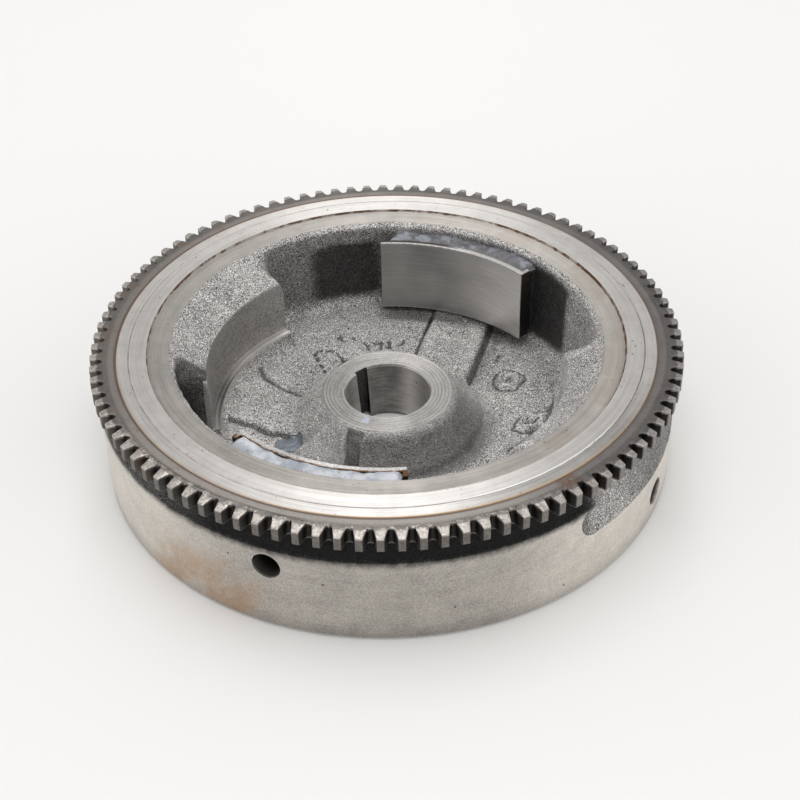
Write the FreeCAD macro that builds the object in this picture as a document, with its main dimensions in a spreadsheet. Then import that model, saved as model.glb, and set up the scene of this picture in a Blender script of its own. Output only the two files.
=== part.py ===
import FreeCAD, Part
import os
import re

import Sketcher

# Engine flywheel with a shrunk-on starter ring gear, two charging magnet blocks inside the rim
# and an ignition magnet let into the outside of the rim.
#
# Frame: +Z is the crankshaft axis, pointing to the engine (ring gear) side.  The origin is on that
# axis in the plane of the machined rim face on the fan side.  Azimuths are degrees from +X
# towards +Y.  All lengths are millimetres.

DIMENSIONS = {
    # rim of the casting
    "rimRadius": 99.3, "rimChamfer": 1.2, "rimTurnedTop": 32.3, "faceHeight": 45.0,
    "neckRadius": 95.6, "innerFaceDrop": 0.9, "faceStepRadius": 81.8, "lipRadius": 74.6,
    "markGrooveRadius": 87.9, "markGrooveWidth": 0.5, "markGrooveDepth": 0.3,
    # cavity on the engine side
    "recessTopRadius": 72.7, "recessLowRadius": 71.5, "recessLowHeight": 12.0,
    "recessTopHeight": 42.0, "floorHeight": 8.3, "floorFillet": 3.5,
    # hub
    "hubRadius": 23.0, "hubHeight": 20.9, "hubChamfer": 1.0, "flankRadius": 34.0,
    "flankHeight": 9.2, "boreLargeRadius": 14.92, "boreSmallRadius": 12.93, "boreChamfer": 0.5,
    "keyWidth": 4.8, "keyDepth": 2.2, "keyAzimuth": 128.5,
    # underside
    "seatRadius": 27.0, "seatHeight": 1.0, "webUnderside": 2.6, "rimFaceRadius": 85.0,
    "fanHoleCircle": 79.0, "fanHoleRadius": 3.25, "fanHoleTop": 13.0,
    "cupHoleCircle": 20.0, "cupHoleRadius": 3.0, "cupHoleTop": 5.5,
    # thick parts of the wall between the magnet recesses
    "padTopRadius": 62.4, "padLowRadius": 59.2, "padTopHeight": 34.2, "padLedge": 13.3,
    "padShoulderRadius": 73.9, "padShoulderHeight": 43.4,
    "padAzimuth": 158.5, "padWidth": 62.0, "counterPadAzimuth": 336.0, "counterPadWidth": 55.0,
    # raised fields of the web, lug and slot at the foot of the hub
    "ribHeading": 73.5, "ribNear": 0.4, "ribWidth": 22.5, "ribTop": 10.9, "upperField": 9.9,
    "lowerField": 9.1, "lugAzimuth": 226.5, "lugWidth": 28.0, "slotAzimuth": 245.5,
    "slotWidth": 9.5, "slotDepth": 2.0,
    # relief cast in the outside of the rim
    "scoopAzimuth": 351.0, "scoopWidth": 81.1, "scoopLow": 18.9, "scoopLowRadius": 99.6,
    "scoopTopRadius": 95.3, "scoopEndHeight": 27.4, "scoopEndRadius": 97.6,
    "scoopEndInner": 2.0, "scoopEndOuter": 12.6, "scoopEndDepth": 3.6,
    # balance drillings
    "drillRadius": 4.8, "drillDepth": 9.0, "drillTip": 2.8,
    "drillFrontAzimuth": 247.2, "drillFrontHeight": 25.8,
    "drillSideAzimuth": 332.9, "drillSideHeight": 10.7,
    # ring gear
    "gearInner": 92.2, "gearRoot": 96.7, "gearTip": 101.0, "gearLow": 39.0, "gearTop": 44.85,
    "gearTeeth": 99, "gapTipHalf": 2.1, "gapRootHalf": 0.95, "gapAzimuth": 4.5,
    "tipChamferLength": 2.4, "tipChamferDrop": 0.3, "tipChamferUnder": 0.5,
    # charging magnet blocks
    "blockAAzimuth": 65.3, "blockBAzimuth": 248.9, "blockWidth": 51.6,
    "shoeFace": 64.5, "shoeThickness": 2.0, "shoeLow": 11.8, "shoeTop": 40.7,
    "hookLength": 2.4, "hookWidth": 1.2, "magnetOuter": 71.0, "magnetLow": 12.4,
    "magnetTop": 38.2, "resinTop": 40.4,
    # ignition magnet
    "pocketAzimuth": 171.0, "pocketFloor": 86.0, "pocketWidth": 44.0, "pocketLow": 6.0,
    "pocketHeight": 22.0, "pottingWall": 1.0, "ignitionMagnetWidth": 16.0,
    "ignitionMagnetDepth": 8.5, "poleWidth": 13.0, "screwRadius": 2.5, "screwHeadRadius": 4.6,
    "screwHeadDepth": 2.4, "screwSink": 0.6, "screwEnd": 76.0,
}

doc = FreeCAD.newDocument("Flywheel")
UP = FreeCAD.Vector(0, 0, 1)
UPRIGHT = FreeCAD.Rotation(FreeCAD.Vector(1, 0, 0), 90)


def make_sheet():
    """Spreadsheet of the driving dimensions, one aliased cell each."""
    sheet = doc.addObject("Spreadsheet::Sheet", "Dim")
    for row, (alias, value) in enumerate(DIMENSIONS.items(), start=1):
        sheet.set(f"A{row}", alias)
        sheet.set(f"B{row}", str(value))
        sheet.setAlias(f"B{row}", alias)
    doc.recompute()
    return sheet


def expression(text):
    """Turn the bare dimension names in a formula into references to the sheet."""
    return re.sub(r"[A-Za-z]\w*",
                  lambda word: "Dim." + word[0] if word[0] in DIMENSIONS else word[0], text)


def bind(target, bindings):
    """Bind properties to formulas written with the names in the sheet."""
    for path, formula in bindings.items():
        target.setExpression(path, expression(formula))


def value_of(formula):
    """Present value of a formula."""
    return float(doc.getObject("Dim").evalExpression(expression(formula)))


def turned_to(target, azimuth):
    """Turn an object about the crankshaft axis by an azimuth formula."""
    target.Placement = FreeCAD.Placement(FreeCAD.Vector(), FreeCAD.Rotation(UP, value_of(azimuth)))
    bind(target, {"Placement.Rotation.Angle": azimuth})
    return target


def constrain_corners(sketch, corners):
    """Closed outline whose corners are pairs of formulas, each held by driven dimensions."""
    points = [FreeCAD.Vector(value_of(x), value_of(y), 0) for x, y in corners]
    count = len(points)
    for index in range(count):
        sketch.addGeometry(Part.LineSegment(points[index], points[(index + 1) % count]), False)
    for index in range(count):
        sketch.addConstraint(Sketcher.Constraint("Coincident", index, 2, (index + 1) % count, 1))
    for index, (x, y) in enumerate(corners):
        for kind, formula, size in (("DistanceX", x, points[index].x),
                                    ("DistanceY", y, points[index].y)):
            number = sketch.addConstraint(Sketcher.Constraint(kind, -1, 1, index, 1, size))
            bind(sketch, {f"Constraints[{number}]": formula})


def origin_feature(body, role):
    """Datum plane or axis of a body, by its role."""
    return next(item for item in body.Origin.OriginFeatures if item.Role == role)


def body_sketch(body, name, role, corners):
    """Outline on one of a body's own origin planes."""
    sketch = body.newObject("Sketcher::SketchObject", name)
    sketch.AttachmentSupport = [(origin_feature(body, role), "")]
    sketch.MapMode = "FlatFace"
    constrain_corners(sketch, corners)
    doc.recompute()
    return sketch


def free_sketch(name, corners, rotation):
    """Outline that stands free in the document."""
    sketch = doc.addObject("Sketcher::SketchObject", name)
    sketch.Placement = FreeCAD.Placement(FreeCAD.Vector(), rotation)
    constrain_corners(sketch, corners)
    doc.recompute()
    return sketch


def sector(name, corners, azimuth, width):
    """Profile of (radius, height) corners turned through a width about an azimuth."""
    turned = doc.addObject("Part::Revolution", name)
    turned.Source = free_sketch(name + "Profile", corners, UPRIGHT)
    turned.Axis = UP
    turned.Base = FreeCAD.Vector()
    turned.Solid = True
    turned.Symmetric = True
    bind(turned, {"Angle": width})
    return turned_to(turned, azimuth)


def field(name, corners, low, top):
    """Flat-topped field: a plan outline raised between two heights."""
    raised = doc.addObject("Part::Extrusion", name)
    raised.Base = free_sketch(name + "Plan", corners, FreeCAD.Rotation())
    raised.DirMode = "Custom"
    raised.Dir = UP
    raised.Solid = True
    bind(raised, {"LengthFwd": f"{top} - {low}", "Placement.Base.z": low})
    return raised


def primitive(kind, name, bindings):
    """Part primitive with bound sizes."""
    item = doc.addObject(kind, name)
    bind(item, bindings)
    return item


def box(name, azimuth, near, depth, left, width, low, height):
    """Block set out along an azimuth: near is its radial start, left its lesser side."""
    item = primitive("Part::Box", name, {"Length": depth, "Width": width, "Height": height})
    turn = f"({azimuth}) * 1 deg"
    item.Placement = FreeCAD.Placement(FreeCAD.Vector(), FreeCAD.Rotation(UP, value_of(azimuth)))
    bind(item, {
        "Placement.Rotation.Angle": azimuth,
        "Placement.Base.x": f"({near}) * cos({turn}) - ({left}) * sin({turn})",
        "Placement.Base.y": f"({near}) * sin({turn}) + ({left}) * cos({turn})",
        "Placement.Base.z": low,
    })
    return item


def radial(item, azimuth, near, side, height):
    """Point a cylinder's or cone's axis outwards along an azimuth."""
    outward = FreeCAD.Rotation(UP, value_of(azimuth)) * FreeCAD.Rotation(FreeCAD.Vector(0, 1, 0), 90)
    item.Placement = FreeCAD.Placement(FreeCAD.Vector(), outward)
    turn = f"({azimuth}) * 1 deg"
    bind(item, {
        "Placement.Base.x": f"({near}) * cos({turn}) - ({side}) * sin({turn})",
        "Placement.Base.y": f"({near}) * sin({turn}) + ({side}) * cos({turn})",
        "Placement.Base.z": height,
    })
    return item


def fuse(name, shapes):
    """Union of several solids."""
    joined = doc.addObject("Part::MultiFuse", name)
    joined.Shapes = shapes
    joined.Refine = False
    return joined


def cut(name, base, tool):
    """Base with the tool's space removed."""
    remainder = doc.addObject("Part::Cut", name)
    remainder.Base = base
    remainder.Tool = tool
    remainder.Refine = False
    return remainder


def common(name, first, second):
    """Space shared by two solids."""
    shared = doc.addObject("Part::Common", name)
    shared.Base = first
    shared.Tool = second
    shared.Refine = False
    return shared


def wall_radius(height):
    """Radius of the drafted recess wall at a height."""
    rise = "( recessTopHeight - recessLowHeight )"
    return (f"recessLowRadius + ( recessTopRadius - recessLowRadius ) * ( ( {height} ) "
            f"- recessLowHeight ) / {rise}")


def circular_edges(shape, places):
    """Names of the circular edges at the given (radius, height) places."""
    names = []
    for number, edge in enumerate(shape.Edges, start=1):
        if not isinstance(edge.Curve, Part.Circle):
            continue
        for radius, height in places:
            if abs(edge.Curve.Radius - radius) < 0.02 and abs(edge.Curve.Center.z - height) < 0.02:
                names.append(f"Edge{number}")
    return names


def turned_casting():
    """Rim, web and hub as one turned body, with the cavity at the depth of its recesses."""
    body = doc.addObject("PartDesign::Body", "CastingBody")
    inner_face = "faceHeight - innerFaceDrop"
    groove = "markGrooveRadius"
    half_groove = "markGrooveWidth / 2"
    corners = [
        ("boreSmallRadius", "seatHeight"),
        ("seatRadius", "seatHeight"),
        ("seatRadius + 0.8", "webUnderside"),
        ("rimFaceRadius - 1.6", "webUnderside"),
        ("rimFaceRadius", "0"),
        ("rimRadius - rimChamfer", "0"),
        ("rimRadius", "rimChamfer"),
        ("rimRadius", "rimTurnedTop"),
        ("rimRadius - 1.2", "rimTurnedTop + 1.4"),
        ("neckRadius", "gearLow"),
        ("gearInner", "gearLow"),
        ("gearInner", "faceHeight"),
        (f"{groove} + {half_groove}", "faceHeight"),
        (f"{groove} + {half_groove} / 2", "faceHeight - markGrooveDepth"),
        (f"{groove} - {half_groove} / 2", "faceHeight - markGrooveDepth"),
        (f"{groove} - {half_groove}", "faceHeight"),
        ("faceStepRadius", "faceHeight"),
        ("faceStepRadius - 0.3", inner_face),
        ("lipRadius", inner_face),
        ("lipRadius - 0.5", "faceHeight - 1.6"),
        ("recessTopRadius", "recessTopHeight"),
        (wall_radius("floorHeight"), "floorHeight"),
        ("flankRadius", "floorHeight"),
        ("flankRadius - 0.6", "flankHeight"),
        ("hubRadius + hubChamfer", "hubHeight - hubChamfer"),
        ("hubRadius", "hubHeight"),
        ("boreLargeRadius + boreChamfer", "hubHeight"),
        ("boreLargeRadius", "hubHeight - boreChamfer"),
    ]
    turning = body.newObject("PartDesign::Revolution", "CastingTurning")
    turning.Profile = body_sketch(body, "CastingSection", "XZ_Plane", corners)
    turning.ReferenceAxis = (origin_feature(body, "Z_Axis"), [""])
    turning.Angle = 360
    doc.recompute()
    rounding = body.newObject("PartDesign::Fillet", "CavityRounding")
    foot = (value_of(wall_radius("floorHeight")), value_of("floorHeight"))
    rounding.Base = (turning, circular_edges(turning.Shape, [foot]))
    bind(rounding, {"Radius": "floorFillet"})
    body.Tip = rounding
    doc.recompute()
    return body


def wall_pads():
    """The two thick parts of the wall: one turned above a ledge, its opposite left as cast."""
    inside = "lipRadius + 4"
    shoulder = ("padShoulderRadius", "padShoulderHeight")
    turned = sector("TurnedPad", [
        ("padLowRadius - 0.6", "floorHeight - 2"),
        (inside, "floorHeight - 2"),
        (inside, "padShoulderHeight"),
        shoulder,
        ("padTopRadius + 0.6", "padTopHeight + 0.5"),
        ("padTopRadius", "padTopHeight - 0.2"),
        ("padTopRadius", "padLedge"),
        ("padLowRadius", "padLedge - 0.1"),
    ], "padAzimuth", "padWidth")
    cast = sector("CastPad", [
        ("padLowRadius - 6.4", "floorHeight - 2"),
        (inside, "floorHeight - 2"),
        (inside, "padShoulderHeight"),
        shoulder,
        ("padTopRadius + 1.0", "padTopHeight + 0.2"),
        ("padTopRadius - 0.2", "padTopHeight - 1.0"),
        ("padTopRadius - 0.9", "padTopHeight - 7"),
        ("padLowRadius + 1.0", "padLedge + 5.6"),
        ("padLowRadius - 0.4", "padLedge + 0.8"),
        ("padLowRadius - 2.4", "floorHeight + 2.0"),
        ("padLowRadius - 5.2", "floorHeight + 0.5"),
    ], "counterPadAzimuth", "counterPadWidth")
    return [turned, cast]


def web_fields():
    """Shallow raised fields of the web around the hub."""
    rib = box("WebRib", "ribHeading", "18", "53", "- ribNear - ribWidth", "ribWidth",
              "floorHeight - 2", "ribTop - floorHeight + 2")
    upper = field("UpperField", [
        ("-27.4", "11.0"), ("-44.0", "25.0"), ("-47.0", "29.0"), ("-45.2", "32.6"),
        ("-34.5", "43.6"), ("-37.5", "49.5"), ("-43.5", "57.2"), ("-32.0", "64.5"),
        ("-14.0", "72.0"), ("21.0", "70.5"), ("12.0", "40.0"), ("4.0", "17.0"), ("-17.0", "8.0"),
    ], "floorHeight - 2", "upperField")
    lower = field("LowerField", [
        ("-16.0", "-4.2"), ("-38.5", "-9.6"), ("-55.3", "1.2"), ("-65.0", "4.0"),
        ("-62.0", "36.0"), ("-46.0", "56.0"), ("-40.0", "56.0"), ("-33.0", "40.0"),
        ("-18.0", "9.0"),
    ], "floorHeight - 2", "lowerField")
    lug = sector("HubLug", [
        ("24", "floorHeight - 2"), ("41.0", "floorHeight - 2"), ("40.2", "11.6"),
        ("37.0", "13.2"), ("31.0", "14.6"), ("24", "20.0"),
    ], "lugAzimuth", "lugWidth")
    return [rib, upper, lower, lug]


def scoop_tools():
    """Relief cast in the outside of the rim, with rounded ends."""
    beyond = "rimRadius + 3"
    middle = sector("ScoopMiddle", [
        ("scoopLowRadius", "scoopLow"),
        (beyond, "scoopLow"),
        (beyond, "gearLow"),
        ("scoopTopRadius", "gearLow"),
    ], "scoopAzimuth", "scoopWidth")
    tools = [middle]
    for name, side in (("ScoopFrontEnd", "-"), ("ScoopBackEnd", "+")):
        end = primitive("Part::Cone", name, {
            "Radius1": "scoopEndInner", "Radius2": "scoopEndOuter", "Height": "scoopEndDepth"})
        tools.append(radial(end, f"scoopAzimuth {side} scoopWidth / 2", "scoopEndRadius", "0",
                            "scoopEndHeight"))
    return tools


def drilling(name, azimuth, height):
    """Blind balance drilling with the drill's conical end."""
    bore = primitive("Part::Cylinder", name + "Bore",
                     {"Radius": "drillRadius", "Height": "drillDepth + 4"})
    tip = primitive("Part::Cone", name + "Tip",
                    {"Radius1": "0", "Radius2": "drillRadius", "Height": "drillTip"})
    radial(bore, azimuth, "rimRadius - drillDepth", "0", height)
    radial(tip, azimuth, "rimRadius - drillDepth - drillTip", "0", height)
    return [bore, tip]


def ring_of_holes(name, count, first, circle, radius, top):
    """Blind holes up from the underside on a circle."""
    holes = []
    for index in range(count):
        hole = primitive("Part::Cylinder", f"{name}{index + 1}",
                         {"Radius": radius, "Height": f"{top} + 2", "Placement.Base.z": "-2"})
        turn = f"( {first + index * 360 / count} ) * 1 deg"
        bind(hole, {"Placement.Base.x": f"{circle} * cos({turn})",
                    "Placement.Base.y": f"{circle} * sin({turn})"})
        holes.append(hole)
    return holes


def key_slot():
    """Keyway along the tapered bore, open at both ends."""
    return box("KeySlot", "keyAzimuth", "0", "boreLargeRadius + keyDepth - 1.4",
               "- keyWidth / 2", "keyWidth", "-1", "hubHeight + 2")


def foot_slot():
    """Slot down the hub's flank beside the lug."""
    return sector("FootSlot", [
        ("hubRadius - 0.2", "hubHeight - 1.6"),
        ("flankRadius - 0.6 - slotDepth", "flankHeight + 0.6"),
        ("flankRadius + 3", "flankHeight + 0.6"),
        ("flankRadius + 3", "hubHeight - 1.6"),
    ], "slotAzimuth", "slotWidth")


def pocket_block(name, depth_from, left, width, low, height):
    """Block in the frame of the ignition pocket, running out past the rim."""
    return box(name, "pocketAzimuth", depth_from, f"rimRadius + 4 - ( {depth_from} )", left, width,
               low, height)


def screw_line(side):
    """Sideways place of a retaining screw: the middle of its pole shoe."""
    return f"{side} ( ignitionMagnetWidth + poleWidth ) / 2"


def screw_solid(name, side):
    """Countersunk screw set radially through a pole shoe, or the hole that it fills."""
    head_start = "rimRadius - screwSink - screwHeadDepth"
    shank = primitive("Part::Cylinder", name + "Shank",
                      {"Radius": "screwRadius", "Height": f"{head_start} - screwEnd"})
    radial(shank, "pocketAzimuth", "screwEnd", screw_line(side), "pocketLow + pocketHeight / 2")
    head = primitive("Part::Cone", name + "Head", {
        "Radius1": "screwRadius", "Radius2": "screwHeadRadius", "Height": "screwHeadDepth"})
    radial(head, "pocketAzimuth", head_start, screw_line(side), "pocketLow + pocketHeight / 2")
    return fuse(name, [shank, head])


def make_casting():
    """The flywheel casting, finished."""
    solid = fuse("CastingSolid", [turned_casting()] + wall_pads() + web_fields())
    tools = scoop_tools()
    tools += drilling("FrontDrilling", "drillFrontAzimuth", "drillFrontHeight")
    tools += drilling("SideDrilling", "drillSideAzimuth", "drillSideHeight")
    tools += ring_of_holes("FanHole", 4, 45, "fanHoleCircle", "fanHoleRadius", "fanHoleTop")
    tools += ring_of_holes("CupHole", 3, 30, "cupHoleCircle", "cupHoleRadius", "cupHoleTop")
    tools += [key_slot(), foot_slot()]
    tools.append(pocket_block("MagnetPocket", "pocketFloor", "- pocketWidth / 2", "pocketWidth",
                              "pocketLow", "pocketHeight"))
    for name, side in (("LeadingTapping", "-"), ("TrailingTapping", "")):
        tools.append(screw_solid(name, side))
    casting = cut("Casting", solid, fuse("CastingCuts", tools))
    return piece(casting, "flywheel_casting")


def make_ring_gear():
    """Starter ring gear: turned blank with its tooth gaps cut through."""
    body = doc.addObject("PartDesign::Body", "RingGearBody")
    blank = body.newObject("PartDesign::Revolution", "GearBlank")
    blank.Profile = body_sketch(body, "GearSection", "XZ_Plane", [
        ("gearInner", "gearLow"),
        ("gearTip - tipChamferUnder", "gearLow"),
        ("gearTip", "gearLow + tipChamferUnder"),
        ("gearTip", "gearTop - tipChamferDrop"),
        ("gearTip - tipChamferLength", "gearTop"),
        ("gearInner", "gearTop"),
    ])
    blank.ReferenceAxis = (origin_feature(body, "Z_Axis"), [""])
    blank.Angle = 360
    doc.recompute()
    gap = body.newObject("PartDesign::Pocket", "ToothGap")
    widening = "( gapTipHalf - gapRootHalf ) / ( gearTip - gearRoot )"
    gap.Profile = body_sketch(body, "GapOutline", "XY_Plane", [
        ("gearRoot", "- gapRootHalf"),
        ("gearTip + 1", f"- gapTipHalf - {widening}"),
        ("gearTip + 1", f"gapTipHalf + {widening}"),
        ("gearRoot", "gapRootHalf"),
    ])
    gap.Type = "ThroughAll"
    gap.Reversed = True
    doc.recompute()
    teeth = body.newObject("PartDesign::PolarPattern", "ToothGaps")
    teeth.Originals = [gap]
    teeth.Axis = (origin_feature(body, "Z_Axis"), [""])
    teeth.Angle = 360
    bind(teeth, {"Occurrences": "gearTeeth"})
    body.Tip = teeth
    turned_to(body, "gapAzimuth")
    return piece(body, "ring_gear")


def make_charging_block(letter):
    """Pole shoe, magnet and resin of one charging block."""
    azimuth = f"block{letter}Azimuth"
    back = "shoeFace + shoeThickness"
    plate = sector(f"ShoePlate{letter}", [
        ("shoeFace", "shoeLow"), (back, "shoeLow"), (back, "shoeTop"), ("shoeFace", "shoeTop"),
    ], azimuth, "blockWidth")
    hooks = []
    for side in ("-", "+"):
        hooks.append(sector(f"ShoeHook{letter}{len(hooks) + 1}", [
            ("shoeFace + 0.5", "shoeLow"), (f"{back} + hookLength", "shoeLow"),
            (f"{back} + hookLength", "shoeTop"), ("shoeFace + 0.5", "shoeTop"),
        ], f"{azimuth} {side} ( blockWidth - hookWidth ) / 2", "hookWidth"))
    shoe = fuse(f"PoleShoe{letter}", [plate] + hooks)
    within = "blockWidth - 2 * hookWidth"
    magnet = sector(f"ChargingMagnet{letter}", [
        (back, "magnetLow"), ("magnetOuter", "magnetLow"), ("magnetOuter", "magnetTop"),
        (back, "magnetTop"),
    ], azimuth, within)
    resin = sector(f"Resin{letter}", [
        ("magnetOuter", "magnetLow"), (wall_radius("magnetLow"), "magnetLow"),
        (wall_radius("resinTop + 0.5"), "resinTop + 0.5"), (back, "resinTop"),
        (back, "magnetTop"), ("magnetOuter", "magnetTop"),
    ], azimuth, within)
    suffix = letter.lower()
    return [piece(shoe, f"pole_shoe_{suffix}"), piece(magnet, f"charging_magnet_{suffix}"),
            piece(resin, f"magnet_resin_{suffix}")]


def rim_disc(name):
    """Solid disc at the rim's radius, which gives the inserts their flush outer faces."""
    return primitive("Part::Cylinder", name, {"Radius": "rimRadius", "Height": "faceHeight"})


def make_ignition_insert():
    """Ignition magnet between two pole shoes, potted and screwed into the rim pocket."""
    inner = "pocketFloor + pottingWall"
    low = "pocketLow + pottingWall"
    tall = "pocketHeight - 2 * pottingWall"
    half = "ignitionMagnetWidth / 2"
    magnet = box("IgnitionMagnetBlock", "pocketAzimuth", inner, "ignitionMagnetDepth",
                 f"- {half}", "ignitionMagnetWidth", low, tall)
    pieces = [piece(magnet, "ignition_magnet")]
    shoes = []
    for name, side, left in (("Leading", "-", f"- {half} - poleWidth"), ("Trailing", "", half)):
        block = pocket_block(f"{name}ShoeBlock", inner, left, "poleWidth", low, tall)
        faced = common(f"{name}ShoeFaced", block, rim_disc(f"{name}ShoeDisc"))
        shoe = cut(f"{name}Shoe", faced, screw_solid(f"{name}ShoeHole", side))
        shoes.append(shoe)
        pieces.append(piece(shoe, f"ignition_pole_{name.lower()}"))
    filling = common("PottingFaced", pocket_block("PottingBlock", "pocketFloor",
                                                  "- pocketWidth / 2", "pocketWidth",
                                                  "pocketLow", "pocketHeight"),
                     rim_disc("PottingDisc"))
    screws = [screw_solid(f"{name}Screw", side)
              for name, side in (("Leading", "-"), ("Trailing", ""))]
    voids = [box("MagnetSpace", "pocketAzimuth", inner, "ignitionMagnetDepth", f"- {half}",
                 "ignitionMagnetWidth", low, tall)]
    for name, left in (("LeadingSpace", f"- {half} - poleWidth"), ("TrailingSpace", half)):
        voids.append(pocket_block(name, inner, left, "poleWidth", low, tall))
    for name, side in (("LeadingPassage", "-"), ("TrailingPassage", "")):
        voids.append(screw_solid(name, side))
    potting = cut("Potting", filling, fuse("PottingVoids", voids))
    pieces.append(piece(potting, "ignition_potting"))
    pieces.append(piece(fuse("MagnetScrews", screws), "magnet_screws"))
    return pieces


def piece(item, label):
    """Name a finished sub-part."""
    item.Label = label
    return item


def faults(pieces):
    """Everything in the document that failed, and every piece without a sound shape."""
    found = []
    for item in doc.Objects:
        if {"Invalid", "Error"} & set(item.State):
            found.append(f"{item.Name}: {item.State}")
    for item in pieces:
        if item.Shape.isNull() or not item.Shape.isValid() or not item.Shape.Solids:
            found.append(f"{item.Label}: unsound shape")
    return found


def main():
    make_sheet()
    pieces = [make_casting(), make_ring_gear()]
    for letter in ("A", "B"):
        pieces += make_charging_block(letter)
    pieces += make_ignition_insert()
    doc.recompute()
    problems = faults(pieces)
    if problems:
        raise RuntimeError("; ".join(problems))
    os.makedirs("parts", exist_ok=True)
    for item in pieces:
        item.Shape.exportStep(os.path.join("parts", item.Label + ".step"))
        box_now = item.Shape.BoundBox
        print(f"{item.Label:24s} solids {len(item.Shape.Solids):2d}  volume {item.Shape.Volume:11.1f}"
              f"  z {box_now.ZMin:7.2f} to {box_now.ZMax:7.2f}")


main()
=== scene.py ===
import math

import bmesh
import bpy
import numpy as np
from mathutils import Matrix, Vector


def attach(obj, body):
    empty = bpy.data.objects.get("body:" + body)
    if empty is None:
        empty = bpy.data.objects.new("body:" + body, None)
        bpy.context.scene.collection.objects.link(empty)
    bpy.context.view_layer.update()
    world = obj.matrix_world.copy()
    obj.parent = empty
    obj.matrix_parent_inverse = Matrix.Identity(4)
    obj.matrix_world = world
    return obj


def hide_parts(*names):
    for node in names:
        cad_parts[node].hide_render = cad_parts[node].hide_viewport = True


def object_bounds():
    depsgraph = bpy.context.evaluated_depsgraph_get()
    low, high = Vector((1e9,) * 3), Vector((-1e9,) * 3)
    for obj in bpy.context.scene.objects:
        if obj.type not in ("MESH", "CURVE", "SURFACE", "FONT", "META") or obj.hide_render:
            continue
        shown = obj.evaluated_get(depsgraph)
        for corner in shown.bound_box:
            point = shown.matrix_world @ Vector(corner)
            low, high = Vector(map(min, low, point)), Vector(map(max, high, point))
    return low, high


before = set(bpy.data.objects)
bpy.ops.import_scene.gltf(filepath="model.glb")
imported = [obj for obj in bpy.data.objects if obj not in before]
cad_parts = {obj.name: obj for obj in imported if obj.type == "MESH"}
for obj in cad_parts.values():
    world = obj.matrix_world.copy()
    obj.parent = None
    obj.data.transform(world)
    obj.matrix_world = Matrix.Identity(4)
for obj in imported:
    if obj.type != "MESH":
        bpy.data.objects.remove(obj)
cad_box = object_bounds()
MM = 0.001

# Sizes and places of the casting, in millimetres and degrees.
BORE_FOOT, BORE_MOUTH, KEYWAY = 12.93, 14.92, 128.5
HUB_EDGE, HUB_TOP, HUB_FOOT = 23.0, 20.9, 34.4
FLOOR = 8.3
FACE_STEP, FACE, TOP = 81.5, 44.1, 45.0
GROOVE, SEAT, SHOULDER = 87.9, 92.18, 39.0
RIM, SCOOP = 99.3, 351.0
TURNED_PAD_AT, CAST_PAD_AT = 158.5, 336.0
UNDERSIDE = 2.6
DRILLINGS = ((247.2, 25.8), (332.9, 10.7))


# ---------------------------------------------------------------- node graphs

class Value:
    """A node's output. Arithmetic on it adds Math nodes to its tree."""

    def __init__(self, nodes, socket):
        self.nodes, self.socket = nodes, socket

    def __add__(self, other):
        return self.nodes.math("ADD", self, other)

    def __sub__(self, other):
        return self.nodes.math("SUBTRACT", self, other)

    def __rsub__(self, other):
        return self.nodes.math("SUBTRACT", other, self)

    def __mul__(self, other):
        return self.nodes.math("MULTIPLY", self, other)

    def __truediv__(self, other):
        return self.nodes.math("DIVIDE", self, other)

    def __pow__(self, other):
        return self.nodes.math("POWER", self, other)

    __radd__, __rmul__ = __add__, __mul__


class Nodes:
    """A node tree, built from small calls that return values. Lengths are in millimetres."""

    def __init__(self, tree):
        self.tree = tree

    def make(self, kind, inputs, output=0, **settings):
        """Add a node with inputs given by number or name, and return one of its outputs."""
        made = self.tree.nodes.new(kind)
        for key, value in settings.items():
            setattr(made, key, value)
        for key, value in inputs.items():
            self.put(value, made.inputs[key])
        return Value(self, made.outputs[output])

    def put(self, value, socket):
        """Link a value, or set a constant."""
        if isinstance(value, Value):
            self.tree.links.new(value.socket, socket)
        elif isinstance(value, tuple) and socket.type == "RGBA":
            socket.default_value = (*value, 1.0)
        else:
            socket.default_value = value

    def coordinates(self, kind):
        """The coordinates of a point, whole and as x, y and z."""
        place = self.make("ShaderNodeTexCoord", {}, kind)
        return place, *(self.make("ShaderNodeSeparateXYZ", {0: place}, axis) for axis in "XYZ")

    def math(self, operation, a, b=0.0):
        return self.make("ShaderNodeMath", {0: a, 1: b}, operation=operation)

    def higher(self, first, *others):
        for other in others:
            first = self.math("MAXIMUM", first, other)
        return first

    def step(self, value, start, end, low=0.0, high=1.0):
        """Smooth change from low to high as value goes from start to end."""
        return self.make("ShaderNodeMapRange", {0: value, 1: start, 2: end, 3: low, 4: high},
                         interpolation_type="SMOOTHSTEP")

    def band(self, value, start, end, soft):
        """One between start and end, fading over soft on either side."""
        return (self.step(value, start - soft, start + soft)
                * self.step(value, end + soft, end - soft))

    def mix(self, factor, a, b):
        return self.make("ShaderNodeMix", {0: factor, 6: a, 7: b}, 2, data_type="RGBA")

    def blend(self, factor, a, b):
        return self.make("ShaderNodeMix", {0: factor, 2: a, 3: b}, data_type="FLOAT")

    def factor(self, mask, inside):
        """One outside a mask, and a chosen number inside it."""
        return self.blend(mask, 1.0, inside)

    def dim(self, value, *shades):
        """Multiply a value by a factor inside each mask, given as (mask, factor)."""
        for mask, inside in shades:
            value *= self.factor(mask, inside)
        return value

    def paint(self, color, *coats):
        """Lay colours over a colour, given as (mask, colour)."""
        for mask, coat in coats:
            color = self.mix(mask, color, coat)
        return color

    def vary(self, value, *fields):
        """Add noise to a value, given as (noise, amount) and centred on zero."""
        for noise, amount in fields:
            value += (noise - 0.5) * amount
        return value


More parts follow.
